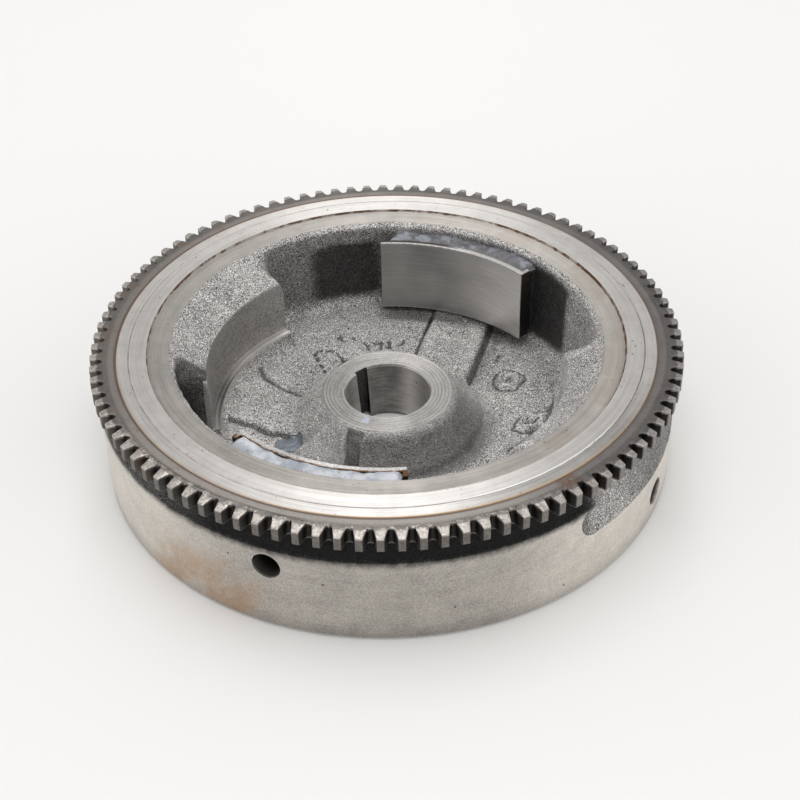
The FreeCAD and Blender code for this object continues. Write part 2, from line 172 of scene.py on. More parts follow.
class Graph(Nodes):
    """The node tree of a material."""

    def __init__(self, name):
        self.material = bpy.data.materials.new(name)
        self.material.use_nodes = True
        super().__init__(self.material.node_tree)
        self.tree.nodes.clear()
        output = self.tree.nodes.new("ShaderNodeOutputMaterial")
        self.shader = self.tree.nodes.new("ShaderNodeBsdfPrincipled")
        self.tree.links.new(self.shader.outputs[0], output.inputs[0])
        self.place, *axes = self.coordinates("Object")
        self.x, self.y, self.height = (axis * 1000.0 for axis in axes)
        self.radius = self.math("SQRT", self.x * self.x + self.y * self.y)

    def stored(self, name):
        """A value stored on the mesh's points."""
        return self.make("ShaderNodeAttribute", {}, "Fac", attribute_name=name)

    def noise(self, size, detail=2.0, roughness=0.5):
        """Noise with features of about a size."""
        return self.make("ShaderNodeTexNoise", {"Vector": self.place, "Scale": 1.0 / (size * MM),
                                                "Detail": detail, "Roughness": roughness})

    def streaks(self, across, pitch, along, detail=2.0, roughness=0.6):
        """Noise that varies quickly across the turned grooves and slowly along them."""
        place = self.make("ShaderNodeCombineXYZ", {0: across / pitch,
                                                   1: self.x / self.radius * along,
                                                   2: self.y / self.radius * along})
        return self.make("ShaderNodeTexNoise", {"Vector": place, "Scale": 1.0,
                                                "Detail": detail, "Roughness": roughness})

    def grey(self, value, tint=(1.0, 0.985, 0.96)):
        """A neutral, slightly warm colour of the given brightness."""
        return self.make("ShaderNodeCombineColor", {i: value * tint[i] for i in range(3)})

    def bump(self, height, depth, normal=None):
        inputs = {"Height": height, "Strength": 1.0, "Distance": depth * MM}
        if normal is not None:
            inputs["Normal"] = normal
        return self.make("ShaderNodeBump", inputs)

    def finish(self, color, roughness, metallic, normal=None, ring_grain=0.0, coat=0.0):
        sockets = self.shader.inputs
        self.put(color, sockets["Base Color"])
        self.put(roughness, sockets["Roughness"])
        self.put(metallic, sockets["Metallic"])
        if normal is not None:
            self.put(normal, sockets["Normal"])
        if ring_grain:
            tangent = self.make("ShaderNodeTangent", {}, direction_type="RADIAL", axis="Z")
            self.put(tangent, sockets["Tangent"])
            sockets["Anisotropic"].default_value = ring_grain
            sockets["Anisotropic Rotation"].default_value = 0.25
        if coat:
            sockets["Coat Weight"].default_value = coat
            sockets["Coat Roughness"].default_value = 0.2
        return self.material


def ring_marks(g, across, seed=0.0):
    """Fine and broad turning marks at a coordinate across the grooves."""
    return g.streaks(across + seed, 0.34, 1.2), g.streaks(across + seed, 1.7, 2.0, 2.0, 0.5)


def around(g, centre, half, soft_edge):
    """Mask of the azimuths within half of a centre, in degrees."""
    x, y = polar(1.0, centre)
    limits = (math.cos(math.radians(half + side * soft_edge)) for side in (1, -1))
    return g.step((g.x * x + g.y * y) / g.radius, *limits)


def turned_zones(g, coarse):
    """Masks of the faces that the tool has cut: all of them, and the flat ones by name."""
    r, z = g.radius, g.height
    ragged = (coarse - 0.5) * 2.2
    zones = {
        "face": g.step(z, 43.5, 43.8) * g.step(r + ragged * 0.7, 74.1, 74.4),
        "hub": g.step(z, HUB_TOP - 0.7, HUB_TOP - 0.4) * g.step(r, HUB_EDGE + 0.4, HUB_EDGE),
        "bore": g.step(r, 15.8, 15.4),
        "under": g.step(z, 1.3, 1.1),
        "rim": g.step(r, RIM - 3.3, RIM - 1.3),
        "pad": g.step(r, 58.0, 59.0) * g.step(r, 64.0, 63.0),
        "ledge": g.band(z, 12.9, 13.5, 0.15) * g.band(r, 59.0, 62.5, 0.3),
    }
    ragged_cast = g.stored("as_cast") + (coarse - 0.5) * 0.5
    smooth = g.step(ragged_cast, 0.62, 0.42) * g.step(r, 55.0, 56.0)
    smooth *= g.higher(g.step(z, 43.2, 43.0), zones["face"])
    zones["outer"] = zones["face"] * g.step(r, FACE_STEP, FACE_STEP + 0.4)
    level = g.higher(zones["face"], zones["hub"], zones["under"])
    zones["turned"] = g.higher(level, zones["bore"], smooth)
    zones["flat"] = g.higher(level, zones["ledge"])
    return zones


def turned_color(g, zones, marks, blotch):
    """Colour of the turned faces: bright iron, with tool marks, scratches, stains and dirt, and
    painted reflections, highlights and shade.
    """
    r, z = g.radius, g.height
    fine, broad = marks
    rim = zones["rim"]
    bright = g.blend(zones["face"], 0.37, 0.46)
    # Painted reflection: the face darker in front and lighter to the right.
    bright = g.dim(bright, (around(g, 270.0, 44.0, 30.0), 0.92),
                   (around(g, 10.0, 50.0, 30.0), 1.28))
    bright = g.blend(zones["outer"], bright, 0.64)
    beyond = zones["face"] * g.step(r, GROOVE - 0.1, GROOVE + 0.3)
    bright *= g.factor(beyond * around(g, 310.0, 20.0, 14.0), 0.66)
    # Painted reflection: the rim lighter at its right and left sides than in front.
    rim_sides = g.higher(around(g, 332.0, 30.0, 14.0), around(g, 205.0, 22.0, 14.0) * 0.9)
    bright = g.blend(rim, bright, g.blend(rim_sides, 0.43, 0.66))
    bright = g.blend(zones["pad"], bright, 0.36)
    # Painted light on the ledge, strongest near its back end.
    bright = g.blend(zones["ledge"], bright, g.blend(around(g, 134.0, 12.0, 22.0), 0.3, 0.78))
    bright = g.blend(zones["bore"], bright, g.blend(around(g, 95.0, 24.0, 18.0), 0.56, 0.21))
    smear = g.noise(5.0, 3.0, 0.6)
    satin = g.noise(0.62, 3.0, 0.75)
    dull = g.higher(rim, zones["pad"] * (1.0 - zones["ledge"]))
    value = (fine - 0.5) * 0.3 + (broad - 0.5) * 0.24
    value *= g.blend(dull, g.factor(zones["ledge"], 2.6), 0.28)
    sandy = g.blend(dull, g.blend(zones["hub"], 0.14, 0.4), g.blend(zones["pad"], 0.62, 1.15))
    value = g.vary(value, (satin, sandy), (smear, 0.17), (blotch, 0.16))
    value += bright
    rings = g.math("SINE", r * (2 * math.pi / RING_PITCH))
    rings = g.step(rings + (smear - 0.5) * 1.2, 0.35, 1.0) * zones["hub"]
    # The hub's turning rings are darker; the rim darkens towards its foot, partly dirt and partly
    # painted contact shadow.
    value = g.dim(value, (rings, 0.8), (rim * g.step(z, 8.0, 0.5), 0.76))
    color = g.mix(rim, g.grey(value, (1.0, 0.965, 0.93)), g.grey(value, (1.0, 0.945, 0.865)))
    inner = zones["face"] * (1.0 - zones["outer"])
    color = g.mix(inner * 0.8, color, g.grey(value, (1.0, 0.945, 0.875)))
    stained = around(g, 8.0, 60.0, 24.0) * inner * g.step(blotch, 0.42, 0.6)
    # Painted highlight along the marking groove at the front right.
    groove_highlight = around(g, 306.0, 17.0, 9.0) * g.band(r, 87.35, 87.75, 0.15) * zones["face"]
    blue = around(g, 244.5, 3.8, 1.5) * g.band(r, 16.6, 19.4, 0.4) * zones["hub"]
    pits = pit_mask(g, zones)
    color = g.paint(color, (stained * 0.22, (0.3, 0.22, 0.15)), (groove_highlight, (0.98, 0.97, 0.96)),
                    (blue * 0.65, (0.42, 0.45, 0.56)), (pits * 0.8, (0.07, 0.055, 0.045)))
    return color, pits


def pit_mask(g, zones):
    """The few small holes in the turned faces."""
    pits = g.step(g.noise(1.3, 1.0, 0.4), 0.76, 0.79) * (1.0 - zones["hub"])
    pits *= 1.0 - zones["rim"]
    for azimuth, height in ((239.5, 26.0), (257.7, 22.5), (281.0, 12.0), (303.0, 6.0)):
        x, y = polar(RIM, azimuth)
        away = g.math("SQRT", (g.x - x) ** 2.0 + (g.y - y) ** 2.0 + (g.height - height) ** 2.0)
        pits = g.higher(pits, g.step(away, 0.55, 0.3))
    return pits


def rust_mask(g, zones, coarse, blotch):
    """Rust in the corners of the steps, and flecks of it elsewhere."""
    r = g.radius
    broken = g.step(coarse * 0.6 + blotch * 0.5, 0.46, 0.62)
    start = g.blend(around(g, 2.0, 44.0, 20.0), FACE_STEP, FACE_STEP - 0.25)
    step_line = g.step(r + (coarse - 0.5) * 0.5, start, start + 0.2) * zones["face"]
    step_line *= g.step(r, FACE_STEP + 0.5, FACE_STEP + 0.3)
    groove = g.band(r, GROOVE - 0.15, GROOVE + 0.15, 0.1) * zones["face"]
    joint = g.step(r, 91.8, 92.0) * zones["face"]
    seam = g.higher(step_line * (0.4 + broken * 0.55), joint * 0.35,
                    groove * (0.15 + broken * 0.4))
    fleck = g.step(g.noise(2.2, 2.0, 0.5), 0.7, 0.76)
    return g.higher(seam, fleck * g.blend(zones["rim"], 0.22, 0.06))


def cast_shade(g, coarse):
    """Painted shade on the metal as cast, in recesses, corners, under the shoe and under the gear,
    and painted light on parts of the floor.
    """
    r, z = g.radius, g.height
    ragged = (coarse - 0.5) * 2.2
    # Painted shade on the recess walls between the pads.
    wall = g.step(r, 64.0, 70.0) * g.step(z + ragged * 2.5, 9.5, 17.0) * g.step(z, 43.0, 42.0)
    pads = g.higher(around(g, TURNED_PAD_AT, 30.5, 1.0), around(g, CAST_PAD_AT, 27.0, 1.0))
    wall *= (1.0 - pads) * (1.0 - around(g, 8.0, 10.0, 18.0) * 0.7)
    shade = g.factor(wall, 0.49)
    # Patches darkened partly as soot and partly as painted shade: the end of the turned pad, the
    # recess walls beside shoe A and the floor under it.
    soot_and_shade = [(around(g, 194.5, 11.0, 3.0), 60.0, 12.0, 44.0, 0.2, 1.1),
             (around(g, 102.0, 8.0, 7.0), 62.0, 13.0, 39.0, 0.2, 0.7),
             (around(g, 45.0, 3.0, 20.0), 62.0, 11.0, 43.0, 0.14, 0.3),
             (around(g, 50.0, 8.0, 8.0), 60.0, 5.0, 14.0, 0.55, 0.8),
             (around(g, 75.0, 15.0, 8.0), 57.0, 5.0, 14.0, 0.36, 0.6)]
    for mask, inner, low, high, dark, tatter in soot_and_shade:
        mask *= g.step(r, inner - 2.0, inner + 4.0)
        mask *= g.step(z, low - 3.0, low + 4.0) * g.step(z, high + 1.0, high - 5.0)
        mask = g.step(mask + (coarse - 0.5) * tatter, 0.15, 0.85)
        mask *= g.step(r, 80.0, 76.0)
        shade *= g.factor(mask, dark)
    # Painted shade on the front and right of the hub's flank.
    dim = around(g, 296.0, 58.0, 26.0) * g.step(r, 23.0, 26.0) * g.step(r, 42.0, 35.0)
    # Painted shade on the outside of the rim below the gear, deepest in the scoop.
    outside = g.step(r, 90.0, 92.0)
    rim_shade = g.blend(around(g, 356.0, 32.0, 10.0), 0.76, 0.4)
    # Painted light on the floor to the right of the hub.
    bright = around(g, 345.0, 40.0, 26.0) * g.band(r, 36.0, 60.0, 3.0)
    # The neck under the gear is near black: partly dark scale, partly painted shade under the
    # gear's overhang; greyer on the left.
    neck = outside * g.step(z + ragged * 1.4, 29.8, 33.4) * (1.0 - around(g, SCOOP, 40.0, 4.0))
    grey_left = around(g, 205.0, 20.0, 13.0) * 0.4
    shade = g.dim(shade, (dim, 0.46), (outside, rim_shade), (bright, 1.12), (neck, 0.035 + grey_left))
    # Painted light on the floor left of the hub.
    painted_light_left = around(g, 186.0, 22.0, 14.0) * g.band(r, 40.0, 58.0, 5.0)
    return shade * (1.0 + painted_light_left * 0.22), neck


def casting_material():
    """Grey iron: sandy where it is as cast, bright where a tool has cut it."""
    g = Graph("cast_iron")
    r, z = g.radius, g.height
    speck = g.noise(0.4, 2.0, 0.6)
    painted_glint = g.noise(0.58, 2.0, 0.6)
    grain = g.noise(1.0, 3.0, 0.65)
    coarse = g.noise(3.5, 3.0, 0.6)
    blotch = g.noise(14.0, 3.0, 0.55)
    zones = turned_zones(g, coarse)
    turned, flat = zones["turned"], zones["flat"]
    fine_r, broad_r = ring_marks(g, r)
    fine_z, broad_z = ring_marks(g, z, 300.0)
    fine, broad = g.blend(flat, fine_z, fine_r), g.blend(flat, broad_z, broad_r)
    bright_metal, pits = turned_color(g, zones, (fine, broad), blotch)
    shade, neck = cast_shade(g, coarse)
    # The turned rim's neck under the gear is near black too: partly dark scale, partly painted
    # shade.
    bright_metal = g.mix(neck * zones["rim"] * 0.92, bright_metal, g.grey(grain * 0.05))

    # Salt-and-pepper grain, with bright specks as painted glints.
    value = 0.08 + g.step(speck, 0.38, 0.62) * 0.74 + g.step(painted_glint, 0.58, 0.66) * 0.66
    value = g.vary(value, (grain, 0.3), (coarse, 0.24), (blotch, 0.34))
    # Hollows and grooves darken, partly as sand-cast dirt and partly as painted shade; ridges get a
    # painted highlight.
    hollow = g.stored("hollow")
    value += g.step(hollow, -0.03, -0.22) * 0.12
    sunk = g.step(hollow + (grain - 0.5) * 0.25, 0.02, 0.46)
    value *= g.factor(sunk, 0.34)
    calm = around(g, 290.0, 90.0, 20.0) * g.step(r, 39.0, 35.0)
    value = g.blend(calm * 0.45, value, 0.52)
    value = g.higher(value, 0.02) * shade
    color = g.mix(turned, g.grey(value, (1.0, 0.97, 0.95)), bright_metal)

    # Painted shade inside the drillings and the magnet pocket: near black deep in, grey towards the
    # rim's outside.
    inside_rim = g.band(r, 84.0, 98.6, 0.3) * g.band(z, 3.0, 31.5, 0.2)
    inside_rim *= g.step(g.stored("as_cast"), 0.2, 0.04)
    keyway = around(g, KEYWAY, 9.35, 0.12) * g.step(r, 16.5, 16.3) * g.step(z, 20.85, 20.6)
    hole_shade = g.mix(g.step(r, 93.0, 98.6), (0.01, 0.009, 0.008), (0.14, 0.133, 0.125))
    color = g.paint(color, (inside_rim * 0.95, hole_shade), (keyway * 0.9, (0.02, 0.018, 0.016)))

    rust = rust_mask(g, zones, coarse, blotch)
    gilt = g.step(r, 91.35, 91.9) * zones["face"]
    gilt *= g.blend(around(g, 290.0, 26.0, 26.0), 0.32, 0.62)
    stain = (around(g, 232.5, 11.0, 7.0) * g.step(r, 98.3, 98.8) * g.step(z, 28.0, 10.0)
             * g.step(blotch, 0.34, 0.6))
    spill = spilled_resin(g, coarse)
    color = g.paint(color, (rust, (0.15, 0.075, 0.04)), (gilt, (0.58, 0.38, 0.18)),
                    (stain * 0.62, (0.38, 0.22, 0.11)), (spill, (0.27, 0.3, 0.34)))

    turned_rough = 0.27 + fine * 0.12 + (1.0 - flat) * 0.12
    dull = zones["face"] * (1.0 - zones["outer"]) * 0.22
    turned_rough += dull + rust * 0.3
    roughness = g.blend(turned, 0.36 + speck * 0.26, turned_rough)
    relief = speck * 0.5 + grain * 0.8 + coarse * 0.7
    depth = (1.0 - turned) * (1.0 - spill * 0.85)
    rough_bump = g.bump(relief * depth, 0.8)
    lathe = (fine * 0.5 + broad * 0.6 - pits * 2.0) * turned
    sandy = grain * zones["rim"] * turned * 0.9
    normal = g.bump(lathe + sandy, 0.035, rough_bump)
    return g.finish(color, roughness, g.blend(turned, 0.62, 0.96), normal, ring_grain=0.75)


def spilled_resin(g, coarse):
    """Patch of potting resin on the floor beside the hub's foot."""
    x0, y0 = polar(37.2, 200.5)
    along = (g.x - x0) * 0.8 + (g.y - y0) * 0.6
    across = (g.x - x0) * -0.6 + (g.y - y0) * 0.8
    away = g.math("SQRT", (along * 0.8) ** 2.0 + across ** 2.0)
    edge = away + (coarse - 0.5) * 2.4
    low = g.step(g.height, 10.6, 10.2) * g.step(g.height, 6.0, 7.0)
    return g.step(edge, 4.4, 3.9) * low


def gear_material():
    """Tarnished steel of the ring gear, with bare burred teeth in front."""
    g = Graph("gear_steel")
    r, z = g.radius, g.height
    speck = g.noise(0.6, 2.0, 0.6)
    grain = g.noise(0.9, 3.0, 0.65)
    coarse = g.noise(2.6, 3.0, 0.6)
    blotch = g.noise(8.0, 3.0, 0.6)
    fine, broad = ring_marks(g, r, 100.0)
    front = around(g, 256.0, 42.0, 16.0)
    right = around(g, 6.0, 64.0, 20.0)
    left = around(g, 170.0, 55.0, 20.0)
    top = g.step(z, 44.25, 44.55)
    above = g.step(z, 43.7, 44.2)

    ragged = (grain * 0.6 + coarse * 0.7) * 2.4
    start = g.blend(front, 98.4, 97.1)
    tip = g.step(r + ragged - (start + 1.5), 0.0, 0.7)
    burr = front * g.band(r, 95.9, 98.2, 0.4) * g.step(coarse * 0.6 + speck * 0.5, 0.56, 0.64)
    bare = above * g.higher(tip, burr) * g.factor(right, 0.15 + grain)
    outer = g.step(r, 100.45, 100.85)
    deep = g.step(r, 99.6, 97.6)

    value = g.blend(front, 0.17, 0.27)
    value += g.step(r, 95.6, 94.4) * 0.08
    streak = g.step(g.streaks(r + 700.0, 0.8, 6.0), 0.45, 0.62)
    dark_ring = g.band(r, 95.2, 96.3, 0.4) * streak * front
    value *= g.factor(dark_ring, 0.45)
    value = g.vary(value, (grain, 0.16), (broad, 0.12), (blotch, 0.14))
    value *= g.factor(right, 0.8)
    # The teeth's sides are darker deep in the gaps, partly dirt and partly painted shade, and get
    # painted shade on the right.
    sides = 0.13 + (grain - 0.5) * 0.14
    sides = g.dim(sides, (deep, 0.25), (right, 0.24))
    lower_edge = g.step(z, 39.75, 39.25) * g.step(r, 96.4, 96.8)
    sides = g.blend(lower_edge * 0.8, sides, 0.19)
    value = g.blend(top, sides, value)
    value = g.blend(outer, value, g.blend(right, 0.17, 0.25) + (grain - 0.5) * 0.3)
    value = g.blend(bare, value, 0.46 + (speck - 0.5) * 0.75)
    color = g.mix(right, g.grey(value, (1.0, 0.93, 0.86)), g.grey(value, (1.0, 0.93, 0.89)))

    patches = g.step(blotch * 0.75 + grain * 0.4, 0.6, 0.78)
    rust = patches * (0.18 + left * 0.45)
    spot = around(g, 305.0, 1.9, 1.0) * g.step(grain, 0.3, 0.6) * top
    rust = g.higher(rust, spot * g.step(r, 97.8, 96.6) * 0.8)
    rust *= 1.0 - bare * 0.7
    tint = g.step(r, 93.3, 92.5) * g.blend(right, 0.85, 0.4)
    color = g.paint(color, (rust, (0.17, 0.09, 0.05)), (tint, (0.15, 0.1, 0.085)))
    roughness = g.blend(bare, 0.44, 0.28) + grain * 0.16
    height = grain * 0.9 + fine * 0.3 + broad * 0.4
    normal = g.bump(height + bare * speck * 0.9, 0.12)
    return g.finish(color, roughness, 0.9, normal, ring_grain=0.5)


def shoe_material():
    """Steel of the pole shoes, scratched round their faces, with dark ends and a painted
    reflection.
    """
    g = Graph("shoe_steel")
    r, z = g.radius, g.height
    fine, _ = ring_marks(g, z, 200.0)
    scratch = g.streaks(z, 0.2, 5.5, 3.0, 0.75)
    hair = g.streaks(z + 400.0, 0.3, 9.0)
    cloud = g.noise(13.0, 2.0, 0.5)
    grain = g.noise(0.8, 3.0, 0.6)
    face = g.step(r, 64.95, 64.75)
    value = 0.4 + (fine - 0.5) * 0.14
    # Shoe A's face grows lighter towards its right end and its scratches show more there: partly
    # scratching, partly painted reflection.
    scratch_and_sheen = g.step(g.x, 22.0, 52.0)
    value = g.vary(value, (scratch, g.blend(scratch_and_sheen, 0.3, 0.85)), (cloud, 0.2))
    value += g.step(hair, 0.68, 0.76) * 0.22
    value += scratch_and_sheen * 0.38
    band = g.step(g.x, 4.0, 16.0) * g.step(g.x, 32.0, 20.0)
    value += band * g.step(z, 22.0, 32.0) * -0.08
    rim = g.higher(g.step(z, 12.5, 12.0), g.step(z, 40.0, 40.5))
    bright_edge = 0.58 + (grain - 0.5) * 0.75
    value = g.blend(rim * g.step(grain, 0.32, 0.5), value, bright_edge)
    crown = g.step(z, 40.35, 40.6)
    left_half = g.step(g.x, 32.0, 22.0) * g.step(g.y, 0.0, 10.0)
    value = g.blend(crown * left_half * g.step(r, 65.1, 65.5), value, 0.06)
    end = (1.0 - face) * (1.0 - crown) * g.step(z, 11.9, 12.1)
    value = g.blend(end, value, 0.035 + grain * 0.03)
    color = g.grey(value, (1.0, 0.98, 0.955))

    patch = g.step(g.noise(2.2, 3.0, 0.65), 0.52, 0.62)
    flecks = end * patch * g.step(z, 18.0, 36.0)
    crown_rust = crown * g.step(g.y, 30.0, -10.0, 0.25, 1.0)
    seam = (g.step(r, 65.75, 66.2) * crown_rust
            * (0.35 + g.step(g.noise(3.0, 2.0, 0.5), 0.38, 0.55) * 0.6))
    color = g.mix(g.higher(flecks * 0.8, seam), color, (0.19, 0.085, 0.03))
    roughness = 0.3 + cloud * 0.12 + g.higher(end, seam) * 0.35
    normal = g.bump(fine * 0.4 + scratch * 0.5 + rim * grain, 0.035)
    return g.finish(color, roughness, 0.96, normal, ring_grain=0.6)


def ignition_pole_material():
    """Stamped steel of the ignition pole shoes, ground flush with the rim."""
    g = Graph("ignition_pole_steel")
    fine, broad = ring_marks(g, g.height, 600.0)
    grain = g.noise(0.7, 3.0, 0.65)
    cloud = g.noise(7.0, 3.0, 0.6)
    value = 0.4 + (fine - 0.5) * 0.2 + (grain - 0.5) * 0.2
    value += (cloud - 0.5) * 0.25
    rust = g.step(cloud * 0.8 + grain * 0.3, 0.6, 0.74)
    color = g.mix(rust * 0.6, g.grey(value, (1.0, 0.97, 0.93)), (0.19, 0.1, 0.05))
    normal = g.bump(fine + broad * 0.5, 0.03)
    return g.finish(color, 0.3 + rust * 0.3, 0.95, normal, ring_grain=0.6)


def resin_material():
    """Potting resin: milky in front, grey and lumpy at the back, with painted glints on it and
    painted shade on its sides.
    """
    g = Graph("resin")
    lump = g.noise(2.6, 3.0, 0.55)
    cloud = g.noise(6.5, 3.0, 0.55)
    fine = g.noise(0.8, 3.0, 0.6)
    # Painted glints: pale bluish patches on the dark resin at the back.
    pale = g.step(cloud + (fine - 0.5) * 0.1, 0.52, 0.64)
    color = g.mix(pale * 0.8, (0.105, 0.103, 0.112), (0.25, 0.265, 0.31))
    milky = g.mix(g.step(cloud, 0.35, 0.62), (0.33, 0.36, 0.42), (0.6, 0.62, 0.66))
    color = g.mix(g.step(g.y, -25.0, -40.0), color, milky)
    # The sides are near black: dark resin with painted shade.
    side = g.step(g.height, 39.6, 38.6)
    color = g.mix(side * 0.9, color, (0.022, 0.021, 0.022))
    pits = g.step(g.noise(1.5, 2.0, 0.5), 0.7, 0.75)
    color = g.mix(pits, color, (0.035, 0.03, 0.03))
    crumbs = g.step(g.noise(1.4, 2.0, 0.6), 0.72, 0.77)
    color = g.mix(crumbs * 0.5, color, (0.34, 0.22, 0.14))
    normal = g.bump(lump * 0.8 + fine * 0.3 + pits * -0.4, 0.45)
    return g.finish(color, 0.26 + lump * 0.25, 0.0, normal, coat=0.25)


def ferrite_material():
    """Dull black ferrite of the magnets."""
    g = Graph("ferrite")
    grain = g.noise(1.5, 3.0, 0.6)
    normal = g.bump(grain, 0.2)
    return g.finish(g.grey(0.02 + grain * 0.03), 0.5, 0.2, normal)


def screw_material():
    """Plain steel of the screws."""
    g = Graph("screw_steel")
    grain = g.noise(0.9, 3.0, 0.6)
    normal = g.bump(grain, 0.05)
    return g.finish(g.grey(0.25 + grain * 0.15), 0.35, 1.0, normal)


def floor_material():
    """Plain pale floor of the studio."""
    g = Graph("studio_floor")
    cloud = g.noise(500.0, 2.0, 0.5)
    normal = g.bump(g.noise(4.0, 2.0, 0.5), 0.01)
    color = g.mix(cloud, (0.83, 0.828, 0.82), (0.86, 0.857, 0.85))
    return g.finish(color, 0.55, 0.0, normal)


# ---------------------------------------------------------------- meshes

LATTICE = np.random.default_rng(11).random((48, 48, 48)) - 0.5


def lumps(points, size, shift=0.0):
    """Smooth random field between -0.5 and 0.5, with features of about a size in millimetres."""
    cell = np.asarray(points) / size + 500.0 + shift
    base = np.floor(cell).astype(int)
    part = cell - base
    part = part * part * (3.0 - 2.0 * part)
    total = np.zeros(base.shape[:-1])
    for corner in np.ndindex(2, 2, 2):
        index = (base + np.array(corner)) % 48
        share = np.prod(np.where(np.array(corner) == 1, part, 1.0 - part), axis=-1)
        total += share * LATTICE[index[..., 0], index[..., 1], index[..., 2]]
    return total


def soft(value, start, end):
    """Smooth step from 0 at start to 1 at end."""
    t = np.clip((value - start) / (end - start), 0.0, 1.0)
    return t * t * (3.0 - 2.0 * t)


def resample(corners, count, rounding):
    """Points spaced evenly along a line of (radius, height) corners, with its corners rounded."""
    corners = np.array(corners, float)
    lengths = np.r_[0.0, np.cumsum(np.hypot(*np.diff(corners, axis=0).T))]
    fine = np.linspace(0.0, lengths[-1], 600)
    line = np.stack([np.interp(fine, lengths, corners[:, i]) for i in (0, 1)], 1)
    spacing = lengths[-1] / 599
    reach = max(1, int(rounding / spacing))
    kernel = np.hanning(2 * reach + 3)[1:-1]
    kernel /= kernel.sum()
    padded = np.pad(line, ((reach, reach), (0, 0)), mode="reflect", reflect_type="odd")
    line = np.stack([np.convolve(padded[:, i], kernel, "valid") for i in (0, 1)], 1)
    share = np.linspace(0, 599, count)
    return np.stack([np.interp(share, np.arange(600), line[:, i]) for i in (0, 1)], 1)


def path_distance(x, y, path):
    """Distance from an open line of plan points."""
    nearest = np.full(x.shape, 1e9)
    for (x0, y0), (x1, y1) in zip(path[:-1], path[1:]):
        run, rise = x1 - x0, y1 - y0
        share = np.clip(((x - x0) * run + (y - y0) * rise) / (run ** 2 + rise ** 2 + 1e-9), 0, 1)
        nearest = np.minimum(nearest, np.hypot(x - x0 - share * run, y - y0 - share * rise))
    return nearest


def outline_depth(x, y, corners):
    """Distance inside (positive) or outside (negative) a closed plan outline."""
    closed = corners + corners[:1]
    inside = np.zeros(x.shape, bool)
    for (x0, y0), (x1, y1) in zip(closed[:-1], closed[1:]):
        slope = (x1 - x0) / (y1 - y0 if y1 != y0 else 1e-9)
        inside ^= ((y0 > y) != (y1 > y)) & (x < x0 + (y - y0) * slope)
    nearest = path_distance(x, y, closed)
    return np.where(inside, nearest, -nearest)


def polar(radius, azimuth):
    turn = math.radians(azimuth)
    return radius * math.cos(turn), radius * math.sin(turn)


def oval(centre, size, squeeze, turn):
    """Points round a closed oval, for the raised foundry marks."""
    points = []
    for angle in np.radians(np.linspace(0.0, 360.0, 15)):
        along, across = size * math.cos(angle), size * squeeze * math.sin(angle)
        heading = math.radians(turn)
        points.append((centre[0] + along * math.cos(heading) - across * math.sin(heading),
                       centre[1] + along * math.sin(heading) + across * math.cos(heading)))
    return points


UPPER_FIELD = [(-27.4, 11.0), (-44.0, 25.0), (-47.0, 29.0), (-45.2, 32.6), (-34.5, 43.6),
               (-37.5, 49.5), (-43.5, 57.2), (-32.0, 64.5), (-14.0, 72.0), (21.0, 70.5),
               (12.0, 40.0), (4.0, 17.0), (-17.0, 8.0)]
LOWER_FIELD = [(-16.0, -4.2), (-38.5, -9.6), (-55.3, 1.2), (-65.0, 4.0), (-62.0, 36.0),
               (-46.0, 56.0), (-40.0, 56.0), (-33.0, 40.0), (-18.0, 9.0)]
RECESS = [(67.6, 8.3), (69.6, 8.9), (70.9, 10.3), (71.4, 12.0), (72.7, 42.0), (73.5, 43.2)]
TURNED_PAD = [(57.6, 8.3), (58.7, 9.2), (59.1, 10.8), (59.2, 13.0), (60.5, 13.05), (60.6, 13.3),
              (62.3, 13.35), (62.4, 13.6), (62.4, 34.0), (63.0, 34.8), (72.9, 42.6), (73.7, 43.2)]
CAST_PAD = [(54.6, 8.3), (57.0, 9.9), (58.8, 14.1), (60.2, 18.9), (61.5, 27.2), (62.2, 33.2),
            (63.4, 34.6), (72.9, 42.4), (73.6, 43.2)]
BLEND_POINTS = 92
RING_PITCH, RING_DEPTH = 1.25, 0.045


def angle_from(azimuth, centre):
    """Signed angle in degrees from a centre azimuth, between -180 and 180."""
    return (azimuth - centre + 180.0) % 360.0 - 180.0


def pad_share(azimuth, centre, half, top):
    """How far the wall belongs to a pad: its ends slope, and round off towards its top."""
    away = np.abs(angle_from(azimuth, centre))
    lean = 0.9 + 3.2 * top
    return soft(away, half + 0.9, half + 0.9 - 2.0 * lean + 0.9)


def web_height(x, y):
    """Height of the cavity's floor: its shallow fields, rib and lug."""
    radius = np.hypot(x, y)
    azimuth = np.degrees(np.arctan2(y, x))
    height = np.full(x.shape, FLOOR)
    height = np.maximum(height, FLOOR + 0.8 * soft(outline_depth(x, y, LOWER_FIELD), -0.9, 0.9))
    height = np.maximum(height, FLOOR + 1.6 * soft(outline_depth(x, y, UPPER_FIELD), -1.0, 1.0))
    heading = math.radians(73.5)
    across = -x * math.sin(heading) + y * math.cos(heading)
    along = x * math.cos(heading) + y * math.sin(heading)
    rib = soft(across, -23.6, -22.2) * soft(across, 1.3, -2.0) * soft(along, 17.0, 20.0)
    height = np.maximum(height, FLOOR + 2.6 * rib)
    beside = angle_from(azimuth, 226.5)
    lug_line = np.interp(radius, [24, 31, 37, 40.2, 41.2], [20, 14.6, 13.2, 11.6, FLOOR])
    lug_end = np.interp(radius, [24.0, 27.0, 31.4, 34.4, 40.0], [8.5, 12.0, 16.5, 18.0, 20.5])
    lug = soft(beside, -14.8, -12.8) * soft(beside, lug_end + 0.5, lug_end - 1.5)
    return np.maximum(height, FLOOR + (lug_line - FLOOR) * lug)


